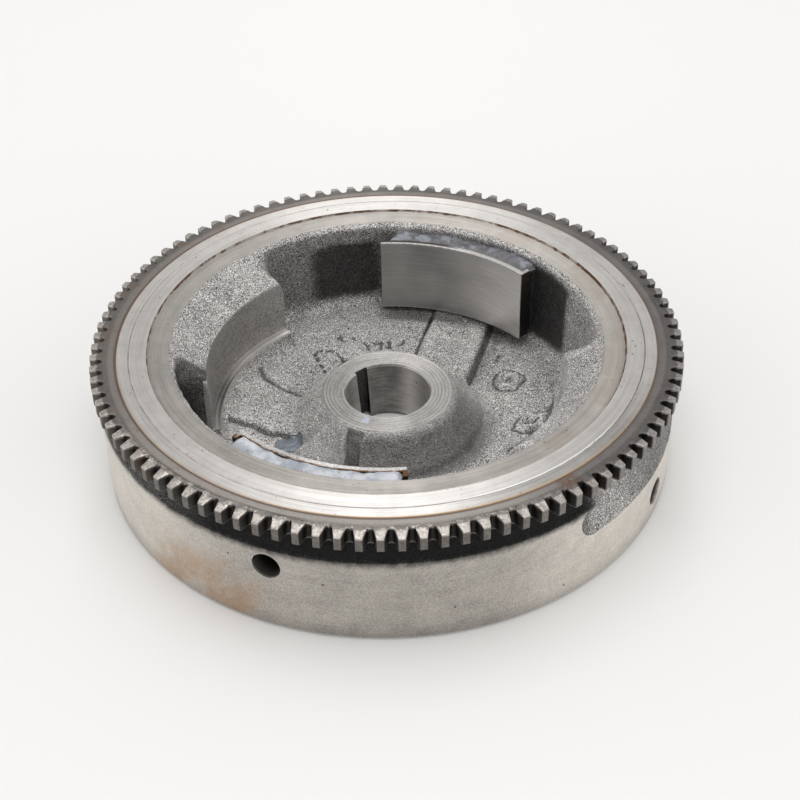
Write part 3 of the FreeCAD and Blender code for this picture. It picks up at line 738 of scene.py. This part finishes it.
def web_relief(x, y):
    """Foundry marks, grooves and dents of the cavity's floor, as a change of height."""
    height = np.zeros(x.shape)
    place = np.stack([x, y, 0.0 * x], -1)
    patchy = soft(lumps(place, 2.0, 8.8), -0.38, -0.08)
    sway_x, sway_y = 1.7 * lumps(place, 2.7, 1.1), 1.7 * lumps(place, 2.7, 6.6)
    x, y = x + sway_x, y + sway_y
    engraved = [
        ([(-23.2, 26.4), (-26.8, 38.3), (-24.0, 40.2), (-21.3, 39.6), (-18.0, 36.4),
          (-16.2, 32.2)], 0.7),
        ([(-17.6, 47.6), (-16.6, 45.2)], 1.5),
        ([(-12.5, 46.8), (-11.5, 45.0)], 0.8),
        ([(-8.8, 43.6), (-6.8, 39.8)], 0.8),
        ([(-6.6, 42.9), (-2.2, 43.4), (-2.6, 39.4)], 0.9),
        ([(0.6, 43.8), (1.8, 40.6), (5.0, 42.0), (6.6, 44.4)], 1.1),
        ([(41.0, 33.6), (42.6, 32.2)], 0.9),
        ([(43.0, -21.0), (43.8, -22.6)], 0.8),
    ]
    for path, width in engraved:
        height -= 0.95 * patchy * np.exp(-(path_distance(x, y, path) / width) ** 2)
    raised = [
        (oval(polar(48.9, 24.5), 4.2, 0.72, 50), 1.2, 1.2),
        (oval(polar(51.2, 355.0), 4.9, 0.52, 24), 1.3, 1.8),
    ]
    for path, width, rise in raised:
        away = path_distance(x, y, path)
        height += rise * (0.3 + 0.7 * patchy) * np.exp(-(away / width) ** 2)
        height -= 0.7 * np.exp(-((away - 1.9 * width) / 0.8) ** 2)
    grooves = [
        ([polar(57.1, 178), polar(48.5, 183), polar(41.8, 190), polar(37.0, 193.3)], 1.2, 1.7),
        ([polar(56.4, 146.8), polar(51.2, 151.8), polar(41.4, 155.2), polar(32.8, 157),
          polar(29.0, 149.5)], 1.0, 0.8),
        ([polar(62.0, 73), polar(50.0, 73.7), polar(37.0, 74.3)], 0.9, 0.4),
        ([polar(66.5, 53.4), polar(50.0, 46.0), polar(37.0, 35.5), polar(32.0, 29.5)], 1.2, 1.1),
        ([polar(66.0, 50.4), polar(50.0, 43.0), polar(39.0, 34.0)], 3.6, 0.65),
        ([polar(72.0, 22.0), polar(66.0, 10.5), polar(60.5, 3.0), polar(56.5, 357.0),
          polar(51.5, 345.0), polar(46.5, 336.0)], 1.5, 1.3),
    ]
    x, y = x - 0.7 * sway_x, y - 0.7 * sway_y
    for path, width, depth in grooves:
        height -= depth * np.exp(-(path_distance(x, y, path) / width) ** 2)
    pit = np.hypot(x - polar(55, 40)[0], y - polar(55, 40)[1])
    return height - 0.8 * np.exp(-(pit / 1.3) ** 2)


def azimuth_lines():
    """Azimuths of the casting's meridians, closer together at the pads' ends and the keyway."""
    lines = list(np.arange(0.0, 360.0, 0.5))
    for centre in (127.5, 189.5, 308.5, 3.5):
        lines += list((centre + np.arange(-2.4, 2.4, 0.16)) % 360.0)
    for side in (KEYWAY - 9.3, KEYWAY + 9.3):
        lines += [side + offset for offset in (-0.35, -0.12, 0.12, 0.35)]
    return np.unique(np.round(lines, 3))


def rim_radius(azimuth, height):
    """Radius of the outside of the rim, with the relief cast into it."""
    plain = np.interp(height, [0.0, 1.2, 32.3, 33.7, SHOULDER], [98.1, RIM, RIM, 98.1, 95.6])
    away = angle_from(azimuth, SCOOP)
    slant = 99.6 - 0.2139 * (height - 18.9)
    inside = soft(np.abs(away), 41.2, 39.9)
    radius = np.where(inside > 0, np.minimum(plain, plain + (slant - plain) * inside), plain)
    for end in (-40.55, 40.55):
        sideways = 99.0 * np.sin(np.radians(away - end))
        reach = np.hypot(sideways, height - 27.4)
        cone = 97.6 + np.maximum(0.0, reach - 2.0) / 2.944
        radius = np.minimum(radius, np.where(np.abs(away - end) < 30, cone, 200.0))
    return radius


class Skin:
    """The casting's skin: meridians round the wheel, and stations from the bore outwards."""

    def __init__(self):
        self.azimuth = azimuth_lines()[:, None]
        self.turn = np.radians(self.azimuth)
        self.stretches = []

    def add(self, *values):
        """A stretch of stations: radius, height, how far as cast, and how deep in a groove."""
        size = np.broadcast_shapes(self.azimuth.shape, *(np.shape(value) for value in values))
        self.stretches.append(np.stack([np.broadcast_to(value, size) for value in values], -1))

    def line(self, start, *legs):
        """Straight stretches one after the other, each as (end, stations, how far as cast)."""
        for end, number, cast in legs:
            share = np.linspace(0.0, 1.0, number, endpoint=False)[None, :]
            self.add(*(a + (b - a) * share for a, b in zip(start, end)), float(cast), 0.0)
            start = end

    def web(self, radius, shape):
        """Height of the cavity's floor, or its relief, at radii of every meridian."""
        return shape(radius * np.cos(self.turn), radius * np.sin(self.turn))

    def bore(self, radius):
        """Radius of the bore, with the keyway along it."""
        key = np.abs(angle_from(self.azimuth, KEYWAY))
        depth = 15.72 / np.cos(np.radians(np.minimum(key, 9.5)))
        return radius + (np.maximum(depth, radius + 0.2) - radius) * soft(key, 9.42, 9.22)

    def grid(self):
        """Points (meridian, station, xyz), how far each is as cast, and how deep it lies."""
        radius, height, rough, sunk = np.moveaxis(np.concatenate(self.stretches, 1), -1, 0)
        return round_wheel(radius, self.turn, height), rough, sunk


def add_hub(skin):
    """Bore, and the turned face of the hub with its rings."""
    mouth = skin.bore(BORE_MOUTH + 0.5)
    skin.line((skin.bore(BORE_FOOT), 1.0), ((skin.bore(BORE_MOUTH), HUB_TOP - 0.5), 12, 0),
              ((mouth, HUB_TOP), 2, 0))
    radius = mouth + (HUB_EDGE - mouth) * np.linspace(0.0, 1.0, 44, endpoint=False)[None, :]
    rings = 0.5 - 0.5 * np.cos(2 * np.pi * radius / RING_PITCH)
    skin.add(radius, HUB_TOP - RING_DEPTH * rings * soft(radius, 16.2, 16.8), 0.0, 0.0)
    skin.line((HUB_EDGE, HUB_TOP), ((HUB_EDGE + 1.0, HUB_TOP - 1.0), 3, 0.6))


def add_flank(skin):
    """Sloping side of the hub, with the slot down it. Returns its last heights."""
    share = np.linspace(0.0, 1.0, 30, endpoint=False)[None, :]
    radius = np.broadcast_to(24.0 + 10.4 * share, (len(skin.azimuth), 30))
    floor = skin.web(radius, web_height) + skin.web(radius, web_relief)
    height = 19.9 - 10.9 * share - 0.5 * np.sin(np.pi * share) ** 2
    height = height + (floor - height) * soft(share, 0.78, 1.0)
    height = np.maximum(height, floor)
    start = np.interp(radius, [23.5, 27.0, 31.4, 34.4], [234.0, 238.5, 243.0, 244.5])
    end = np.interp(radius, [23.5, 25.0, 27.0, 31.4], [249.5, 248.0, 247.5, 250.5])
    in_slot = soft(skin.azimuth, start - 0.3, start + 0.5)
    in_slot = in_slot * soft(skin.azimuth, end + 0.3, end - 0.5)
    slot = np.interp(radius, [22.8, 31.4, 37.0], [19.3, 9.8, 9.6])
    height = height + (np.minimum(slot, height) - height) * in_slot
    skin.add(radius, height, 1.0, 1.2 * in_slot)
    return height[:, -1:]


def add_cavity(skin, foot_of_hub):
    """Floor of the cavity, and its wall with the two pads and the recesses between them."""
    recess = resample(RECESS, BLEND_POINTS, 0.5)
    turned = resample(TURNED_PAD, BLEND_POINTS, 0.25)
    cast = resample(CAST_PAD, BLEND_POINTS, 1.0)
    top = soft(np.linspace(0.0, 1.0, BLEND_POINTS)[None, :], 0.55, 0.95)
    share_turned = pad_share(skin.azimuth, TURNED_PAD_AT, 31.0, top)
    share_cast = pad_share(skin.azimuth, CAST_PAD_AT, 27.5, top)
    wall = (recess[None] * (1.0 - share_turned - share_cast)[..., None]
            + turned[None] * share_turned[..., None] + cast[None] * share_cast[..., None])
    radius, height = wall[..., 0], wall[..., 1]

    share = np.linspace(0.0, 1.0, 84, endpoint=False)[None, :]
    floor_radius = HUB_FOOT + (radius[:, :1] - HUB_FOOT) * share
    relief = skin.web(floor_radius, web_relief)
    floor = skin.web(floor_radius, web_height) + relief
    settle = soft(share, 0.05, 0.0)
    skin.add(floor_radius, floor + (foot_of_hub - floor) * settle * 0.3, 1.0, -relief)

    lift = skin.web(radius[:, :1], web_height) - FLOOR
    gouge = skin.web(radius, web_relief) * soft(height, 19.0, 13.0) * (1.0 - share_turned)
    below_top = soft(height, 34.6, 34.0)
    smooth = np.maximum(soft(height, 13.0, 13.6), soft(height, 12.4, 12.9)) * below_top
    rough = 1.0 - smooth * soft(share_turned, 0.75, 0.98)
    skin.add(radius, height + lift * soft(height, 12.5, FLOOR) + gouge, rough, -gouge)


def add_faces(skin):
    """Turned faces around the cavity, with the marking groove, down to the gear's shoulder."""
    skin.line((73.9, FACE - 0.6), ((74.6, FACE), 2, 0.5), ((FACE_STEP, FACE), 14, 0),
              ((FACE_STEP + 0.3, TOP), 2, 0), ((GROOVE - 0.25, TOP), 12, 0),
              ((GROOVE, TOP - 0.3), 2, 0), ((GROOVE + 0.25, TOP), 2, 0), ((91.9, TOP), 8, 0),
              ((SEAT, TOP - 0.4), 2, 0), ((SEAT, SHOULDER), 2, 0), ((95.6, SHOULDER), 4, 0.3))


def add_rim(skin):
    """Neck below the ring gear, and the outside of the rim."""
    for high, low, number, least in ((SHOULDER, 32.3, 14, 1.0), (32.3, 1.2, 64, 0.0)):
        height = np.linspace(high, low, number, endpoint=False)[None, :]
        radius = rim_radius(skin.azimuth, height)
        relief = soft(RIM - 0.02 - radius, 0.0, 0.25) * (height > 1.3)
        skin.add(radius, height, np.maximum(relief, least), 0.0)


def add_underside(skin):
    """Chamfer of the rim, and the underside with its wide recess, back to the bore."""
    skin.line((RIM, 1.2), ((98.1, 0.0), 3, 0), ((85.0, 0.0), 14, 0), ((83.4, UNDERSIDE), 4, 0.6),
              ((27.8, UNDERSIDE), 70, 1), ((27.0, 1.0), 3, 0.5),
              ((skin.bore(BORE_FOOT), 1.0), 12, 0))


def round_wheel(radius, turn, height):
    """Points from radii, angles in radians and heights."""
    return np.stack([radius * np.cos(turn), radius * np.sin(turn), height], -1)


def casting_grid():
    """The casting's whole skin, which closes on itself both ways."""
    skin = Skin()
    add_hub(skin)
    add_cavity(skin, add_flank(skin))
    add_faces(skin)
    add_rim(skin)
    add_underside(skin)
    return skin.grid()


def normals_of(points):
    """Outward normals of a grid that closes on itself both ways."""
    along = np.roll(points, -1, 1) - np.roll(points, 1, 1)
    around = np.roll(points, -1, 0) - np.roll(points, 1, 0)
    normal = np.cross(along, around)
    return normal / np.maximum(np.linalg.norm(normal, axis=-1, keepdims=True), 1e-9)


def hollowness(points, normal):
    """How much each point lies below (positive) or above its neighbours, per unit of spacing."""
    near = [np.roll(points, steps, axis) for steps in (-2, 2) for axis in (0, 1)]
    spacing = np.mean([np.linalg.norm(other - points, axis=-1) for other in near], axis=0)
    lift = np.einsum("ijk,ijk->ij", np.mean(near, axis=0) - points, normal)
    return lift / np.maximum(spacing, 0.3)


def make_casting(material):
    """The casting's mesh: its skin roughened where it is as cast, marked by tools elsewhere."""
    points, rough, sunk = casting_grid()
    normal = normals_of(points)
    beyond_hub = soft(np.hypot(points[..., 0], points[..., 1]), 34.6, 36.6)
    hollow = hollowness(points, normal) * beyond_hub + 0.34 * np.maximum(sunk, 0.0)
    cast = lumps(points, 9.0) * 0.55 + lumps(points, 3.6, 7.7) * 0.42
    cast += lumps(points, 1.7, 3.1) * 0.38 + lumps(points, 0.95, 5.3) * 0.20
    tool = lumps(points * np.array([0.02, 0.02, 1.0]), 0.8, 1.3) * 0.02
    depth = cast * rough + tool * (1.0 - rough)
    points = points + normal * depth[..., None]
    points[..., 2] = np.maximum(points[..., 2], 0.0)
    rows, columns = points.shape[:2]
    index = np.arange(rows * columns).reshape(rows, columns)
    right, up = np.roll(index, -1, 0), np.roll(index, -1, 1)
    both = np.roll(right, -1, 1)
    faces = np.stack([index, up, both, right], -1).reshape(-1, 4)
    made = grid_object("flywheel_body", points.reshape(-1, 3) * MM, faces, material)
    for name, values in (("as_cast", rough), ("hollow", hollow)):
        layer = made.data.attributes.new(name, "FLOAT", "POINT")
        layer.data.foreach_set("value", values.reshape(-1).astype(np.float32))
    return made


def grid_object(name, points, faces, material):
    """Mesh from arrays of points and of four-sided faces."""
    mesh = bpy.data.meshes.new(name)
    mesh.vertices.add(len(points))
    mesh.vertices.foreach_set("co", points.reshape(-1).astype(np.float32))
    mesh.loops.add(faces.size)
    mesh.loops.foreach_set("vertex_index", faces.reshape(-1).astype(np.int32))
    mesh.polygons.add(len(faces))
    mesh.polygons.foreach_set("loop_start", np.arange(0, faces.size, 4, dtype=np.int32))
    mesh.polygons.foreach_set("loop_total", np.full(len(faces), 4, dtype=np.int32))
    mesh.update(calc_edges=True)
    return new_object(name, mesh, material)


def new_object(name, mesh, material=None):
    """Put mesh, light or camera data into the scene."""
    made = bpy.data.objects.new(name, mesh)
    bpy.context.scene.collection.objects.link(made)
    if material:
        mesh.materials.append(material)
    return made


def directions(azimuth):
    """Outward and sideways unit vectors at an azimuth."""
    turn = math.radians(azimuth)
    return (np.array([math.cos(turn), math.sin(turn), 0.0]),
            np.array([-math.sin(turn), math.cos(turn), 0.0]))


def tube(rings, tip=None):
    """Closed solid between two rings of points, the first end flat or drawn out to a tip."""
    sides = len(rings[0])
    points = [*rings[0], *rings[1]] + ([] if tip is None else [tip])
    faces = [tuple(range(sides, 2 * sides))]
    if tip is None:
        faces.append(tuple(reversed(range(sides))))
    for side in range(sides):
        after = (side + 1) % sides
        faces.append((side, after, sides + after, sides + side))
        if tip is not None:
            faces.append((after, side, 2 * sides))
    return points, faces


def drill(azimuth, height, radius, near, far, tip):
    """A drill along a radius of the wheel, with a conical point at its near end."""
    outward, sideways = directions(azimuth)
    upward = np.array([0, 0, 1.0])
    angle = np.arange(56)[:, None] * 2 * np.pi / 56
    ring = radius * (np.cos(angle) * sideways + np.sin(angle) * upward) + height * upward
    return tube([outward * reach + ring for reach in (near, far)],
                outward * (near - tip) + height * upward)


def post(x, y, radius, low, high):
    """An upright cylinder, a tool for the holes of the underside."""
    angle = np.arange(48) * 2 * np.pi / 48
    ring = [x + radius * np.cos(angle), y + radius * np.sin(angle)]
    return tube([np.stack([*ring, np.full(48, height)], 1) for height in (low, high)])


def brick(azimuth, near, far, half_width, low, high):
    """A block along a radius of the wheel."""
    outward, sideways = directions(azimuth)
    ring = np.array([outward * reach + sideways * side * half_width
                     for reach, side in ((near, -1), (far, -1), (far, 1), (near, 1))])
    return tube([ring + np.array([0, 0, height]) for height in (low, high)])


def machine(body):
    """Cut the drillings, the holes of the underside and the magnet pocket out of the casting."""
    tools = [drill(*place, 4.8, 90.3, 104.0, 2.8) for place in DRILLINGS]
    tools += [brick(171.0, 86.0, 104.0, 22.0, 6.0, 28.0)]
    tools += [post(*polar(79.0, 45 + 90 * k), 3.25, -2.0, 13.0) for k in range(4)]
    tools += [post(*polar(20.0, 30 + 120 * k), 3.0, -2.0, 5.5) for k in range(3)]
    points, faces = [], []
    for corners, sides in tools:
        faces += [tuple(i + len(points) for i in side) for side in sides]
        points += [tuple(p * MM) for p in corners]
    mesh = bpy.data.meshes.new("tools")
    mesh.from_pydata(points, [], faces)
    cutter = new_object("tools", mesh)
    cutting = body.modifiers.new("cuts", "BOOLEAN")
    cutting.operation = "DIFFERENCE"
    cutting.solver = "MANIFOLD"
    cutting.object = cutter
    graph = bpy.context.evaluated_depsgraph_get()
    result = bpy.data.meshes.new_from_object(body.evaluated_get(graph))
    body.modifiers.clear()
    old = body.data
    body.data = result
    bpy.data.objects.remove(cutter)
    bpy.data.meshes.remove(mesh)
    bpy.data.meshes.remove(old)


TEETH, GAP_START = 99, 4.5
GEAR_BORE, ROOT, TIP, FILLET = 92.2, 96.7, 101.0, 0.7
GEAR_LOW, GEAR_TOP = SHOULDER, 44.85
BORE_EDGE, FLANK_EDGE, TIP_EDGE = 0.12, 0.14, 0.2


def flank_angle(radius):
    """Half the angle of a tooth gap at a radius, in degrees."""
    half = 0.95 + (radius - ROOT) * 1.15 / (TIP - ROOT)
    return np.degrees(np.arcsin(half / radius))


def gear_patches():
    """Grids of (radius, azimuth, height) points that together close the ring gear."""
    pitch = 360.0 / TEETH
    base = ROOT + FILLET
    rows = np.array([base, 97.8, 98.4, 98.8, 99.4, 100.1, 100.65, TIP])
    tooth = np.array([0.0, 0.07, 0.22, 0.5, 0.78, 0.93, 1.0])
    across = np.array([-1.0, -0.86, -0.62, -0.32, 0.0, 0.32, 0.62, 0.86, 1.0])
    bottom_of_gap = ROOT + FILLET * np.abs(across) ** 2.6
    inward = np.array([0.0, 0.07, 0.3, 0.6, 0.82, 0.93, 1.0])
    levels = np.array([0.0, 0.04, 0.12, 0.25, 0.4, 0.55, 0.7, 0.85, 0.94, 1.0])
    patches = []

    def top(radius, edge):
        drop = 0.3 * np.maximum(0.0, radius - 98.6) / 2.4
        return GEAR_TOP - drop - edge

    def low(radius):
        return GEAR_LOW + np.maximum(0.0, radius - 100.5)

    def wall(radius, azimuth, edge):
        """Upright side between the top and the bottom outline."""
        high, floor = top(radius, edge), low(radius)
        height = floor[None] + (high - floor)[None] * levels[::-1, None]
        full = np.broadcast_to(radius, height.shape)
        return np.stack([full, np.broadcast_to(azimuth, height.shape), height], -1)

    for number in range(TEETH):
        gap = GAP_START + number * pitch
        root = flank_angle(base)
        left, right = gap + flank_angle(rows), gap + pitch - flank_angle(rows)
        azimuth = left[:, None] + (right - left)[:, None] * tooth[None]
        radius = np.broadcast_to(rows[:, None], azimuth.shape)
        edge = np.zeros(azimuth.shape)
        edge[:, 0] = edge[:, -1] = FLANK_EDGE
        edge[-1] = TIP_EDGE
        patches.append(np.stack([radius, azimuth, top(radius, edge)], -1))
        patches.append(np.stack([radius, azimuth, low(radius)], -1)[:, ::-1])
        patches.append(wall(rows, left, edge[:, 0])[:, ::-1])
        patches.append(wall(rows, right, edge[:, -1]))
        patches.append(wall(radius[-1], azimuth[-1], edge[-1])[:, ::-1])
        columns = np.concatenate([gap + root * across, azimuth[0, 1:]])
        outer = np.concatenate([bottom_of_gap, np.full(len(tooth) - 1, base)])
        gap_edge = np.full(len(across), FLANK_EDGE)
        width = GEAR_BORE + (outer - GEAR_BORE)[None] * inward[:, None]
        ring = np.broadcast_to(columns[None], width.shape)
        edges = np.zeros(ring.shape)
        edges[-1] = np.concatenate([gap_edge, np.zeros(len(tooth) - 2), [FLANK_EDGE]])
        edges[0] = BORE_EDGE
        patches.append(np.stack([width, ring, top(width, edges)], -1))
        patches.append(np.stack([width, ring, low(width)], -1)[:, ::-1])
        patches.append(wall(bottom_of_gap, columns[:len(across)], gap_edge)[:, ::-1])
        patches.append(wall(width[0], columns, edges[0]))
    return patches


def make_gear(material):
    """The ring gear's mesh, with burrs on its teeth."""
    points, faces, offset = [], [], 0
    for patch in gear_patches():
        rows, columns = patch.shape[:2]
        radius, azimuth, height = np.moveaxis(patch, -1, 0)
        points.append(round_wheel(radius, np.radians(azimuth), height).reshape(-1, 3))
        index = np.arange(rows * columns).reshape(rows, columns) + offset
        faces.append(np.stack([index[:-1, :-1], index[1:, :-1], index[1:, 1:], index[:-1, 1:]],
                              -1).reshape(-1, 4))
        offset += rows * columns
    points, faces = np.concatenate(points), np.concatenate(faces)
    radius = np.hypot(points[:, 0], points[:, 1])
    burr = soft(radius, 97.5, 100.5) * soft(points[:, 2], 43.6, 44.5)
    points[:, 2] += (lumps(points, 1.1) * 0.22 + lumps(points, 2.6, 4.4) * 0.16) * burr
    points[:, 2] += lumps(points, 1.4, 9.9) * 0.05 * soft(points[:, 2], 44.0, 44.6)
    azimuth = np.degrees(np.arctan2(points[:, 1], points[:, 0]))
    front = soft(np.abs(angle_from(azimuth, 262.0)), 62.0, 40.0)
    flakes = front * soft(radius, 95.8, 96.6) * soft(radius, 98.6, 97.4)
    flakes *= soft(points[:, 2], 44.2, 44.6)
    points[:, 2] += np.maximum(0.0, lumps(points, 0.8, 6.1) + 0.05) * 1.1 * flakes
    side = lumps(points, 1.3, 2.2)[:, None] * 0.10 * soft(radius, 96.0, 97.2)[:, None]
    points[:, :2] += points[:, :2] / radius[:, None] * side
    made = grid_object("starter_ring", points * MM, faces, material)
    shape = bmesh.new()
    shape.from_mesh(made.data)
    bmesh.ops.remove_doubles(shape, verts=shape.verts, dist=2e-6)
    bmesh.ops.recalc_face_normals(shape, faces=shape.faces)
    shape.to_mesh(made.data)
    shape.free()
    return made


def make_resin(name, centre, half, bevels, crevice, material):
    """Lumpy block of potting resin behind and over a magnet, swept round the wheel."""
    corners = [(66.52, 38.3), (66.52, 40.3), (73.2, 41.0), (73.2, 12.4), (70.7, 12.4), (70.7, 38.3)]
    loop = []
    for (r0, z0), (r1, z1) in zip(corners, corners[1:] + corners[:1]):
        number = max(2, int(math.hypot(r1 - r0, z1 - z0) / 0.45))
        loop += [(r0 + (r1 - r0) * part / number, z0 + (z1 - z0) * part / number)
                 for part in range(number)]
    loop = np.array(loop)
    rows, columns = 141, len(loop)
    share = np.linspace(-1.0, 1.0, rows)[:, None]
    radius = np.broadcast_to(loop[None, :, 0], (rows, columns))
    height = np.broadcast_to(loop[None, :, 1], (rows, columns))
    depth = radius - 66.5
    azimuth = centre + half * share + bevels[0] * depth * soft(share, -0.82, -1.0)
    azimuth = azimuth - bevels[1] * depth * soft(share, 0.82, 1.0)
    turn = np.radians(azimuth)
    points = round_wheel(radius, turn, height)
    crown = soft(height, 38.9, 40.2)
    lift = lumps(points, 4.5, 2.7) * 1.1 + lumps(points, 1.7, 5.9) * 0.55
    lift -= 1.3 * soft(np.abs(share), 0.94, 1.0)
    lift -= 1.6 * np.exp(-(depth / 0.55) ** 2) * soft(share, crevice - 0.1, crevice + 0.1)
    points[..., 2] += lift * crown
    outward = round_wheel(1.0, turn, 0.0 * turn)
    points += outward * (lumps(points, 2.0, 1.9) * 0.25 * (1.0 - crown))[..., None]
    index = np.arange(rows * columns).reshape(rows, columns)
    after = np.roll(index, -1, 1)
    faces = np.stack([index[:-1], after[:-1], after[1:], index[1:]], -1).reshape(-1, 4)
    mesh = bpy.data.meshes.new(name)
    ends = [tuple(index[0][::-1]), tuple(index[-1])]
    mesh.from_pydata([tuple(p) for p in points.reshape(-1, 3) * MM], [],
                     [tuple(face) for face in faces] + ends)
    return new_object(name, mesh, material)


# ---------------------------------------------------------------- studio

def floor():
    mesh = bpy.data.meshes.new("studio_floor")
    half = 6.0
    low = cad_box[0][2] - 0.05 * MM
    mesh.from_pydata([(-half, -half, low), (half, -half, low), (half, half, low),
                      (-half, half, low)], [], [(0, 1, 2, 3)])
    new_object("studio_floor", mesh, floor_material())


def area_light(name, place, width, depth, power):
    """Softbox aimed at the middle of the wheel."""
    data = bpy.data.lights.new(name, "AREA")
    data.shape = "RECTANGLE"
    data.size, data.size_y = width, depth
    data.energy = power
    made = new_object(name, data)
    made.location = place
    aim = Vector((0, 0, 0.02)) - Vector(place)
    made.rotation_euler = aim.to_track_quat("-Z", "Y").to_euler()


def world_light():
    """Surroundings like a light tent: bright in front and overhead, dimmer behind."""
    world = bpy.data.worlds.new("studio")
    bpy.context.scene.world = world
    world.use_nodes = True
    background = world.node_tree.nodes["Background"]
    background.inputs["Color"].default_value = (1.0, 0.99, 0.98, 1.0)
    sky = Nodes(world.node_tree)
    _, x, y, z = sky.coordinates("Generated")
    front = sky.step(y, 0.35, -0.6, 0.0, 0.62) * sky.step(z, 0.75, 0.15, 0.25, 1.0)
    sides = sky.step(sky.math("ABSOLUTE", x), 0.25, 0.75, 0.0, 0.85) * sky.step(z, 0.75, 0.35)
    overhead = sky.step(z, 0.55, 1.0, 0.0, 0.5)
    sky.put(front + sides + (overhead + 0.36), background.inputs["Strength"])


def studio():
    floor()
    area_light("softbox_back", (0.0, 1.15, 0.95), 0.30, 1.1, 1.25)
    area_light("softbox_top", (-0.05, 0.15, 1.5), 1.0, 1.3, 7.5)
    world_light()
    bpy.context.scene.view_settings.view_transform = "Standard"


def camera():
    """The photograph's camera; its focal length is given in picture widths."""
    distance, height, focal_length = 0.435337, 0.361188, 1.96068625
    yaw, pitch, roll = 0.00975169, 0.669801117, -0.0192825061
    forward = Vector((math.sin(yaw) * math.cos(pitch), math.cos(yaw) * math.cos(pitch),
                      -math.sin(pitch)))
    right = forward.cross(Vector((0, 0, 1))).normalized()
    up = right.cross(forward)
    side = math.cos(roll) * right + math.sin(roll) * up
    top = -math.sin(roll) * right + math.cos(roll) * up
    data = bpy.data.cameras.new("camera")
    data.sensor_width = 36.0
    data.lens = data.sensor_width * focal_length
    data.clip_start = 0.02
    data.clip_end = 50.0
    made = new_object("camera", data)
    made.matrix_world = Matrix.Translation((0, -distance, height)) @ Matrix(
        (side, top, -forward)).transposed().to_4x4()
    bpy.context.scene.camera = made


# ---------------------------------------------------------------- pieces and finishes

def dress(material, *nodes):
    """Give CAD nodes a material of their own."""
    for name in nodes:
        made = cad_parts[name]
        made.data.materials.clear()
        made.data.materials.append(material)


def place_piece(made, node, crease):
    """Shade a mesh, and hand it to the frame in the place of a CAD node."""
    made.data.shade_smooth()
    made.data.set_sharp_from_angle(angle=math.radians(crease))
    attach(made, "root")
    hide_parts(node)


body = make_casting(casting_material())
machine(body)
place_piece(body, "flywheel_casting", 35)
place_piece(make_gear(gear_material()), "ring_gear", 30)
dress(shoe_material(), "pole_shoe_a", "pole_shoe_b")
dress(ignition_pole_material(), "ignition_pole_leading", "ignition_pole_trailing")
resin = resin_material()
for letter, centre, bevels, crevice in (("a", 65.3, (-0.13, 0.75), 0.0),
                                        ("b", 248.9, (0.1, 0.2), 2.0)):
    block = make_resin(f"potting_{letter}", centre, 24.6, bevels, crevice, resin)
    place_piece(block, f"magnet_resin_{letter}", 50)
dress(resin, "ignition_potting")
dress(ferrite_material(), "charging_magnet_a", "charging_magnet_b", "ignition_magnet")
dress(screw_material(), "magnet_screws")
studio()
camera()
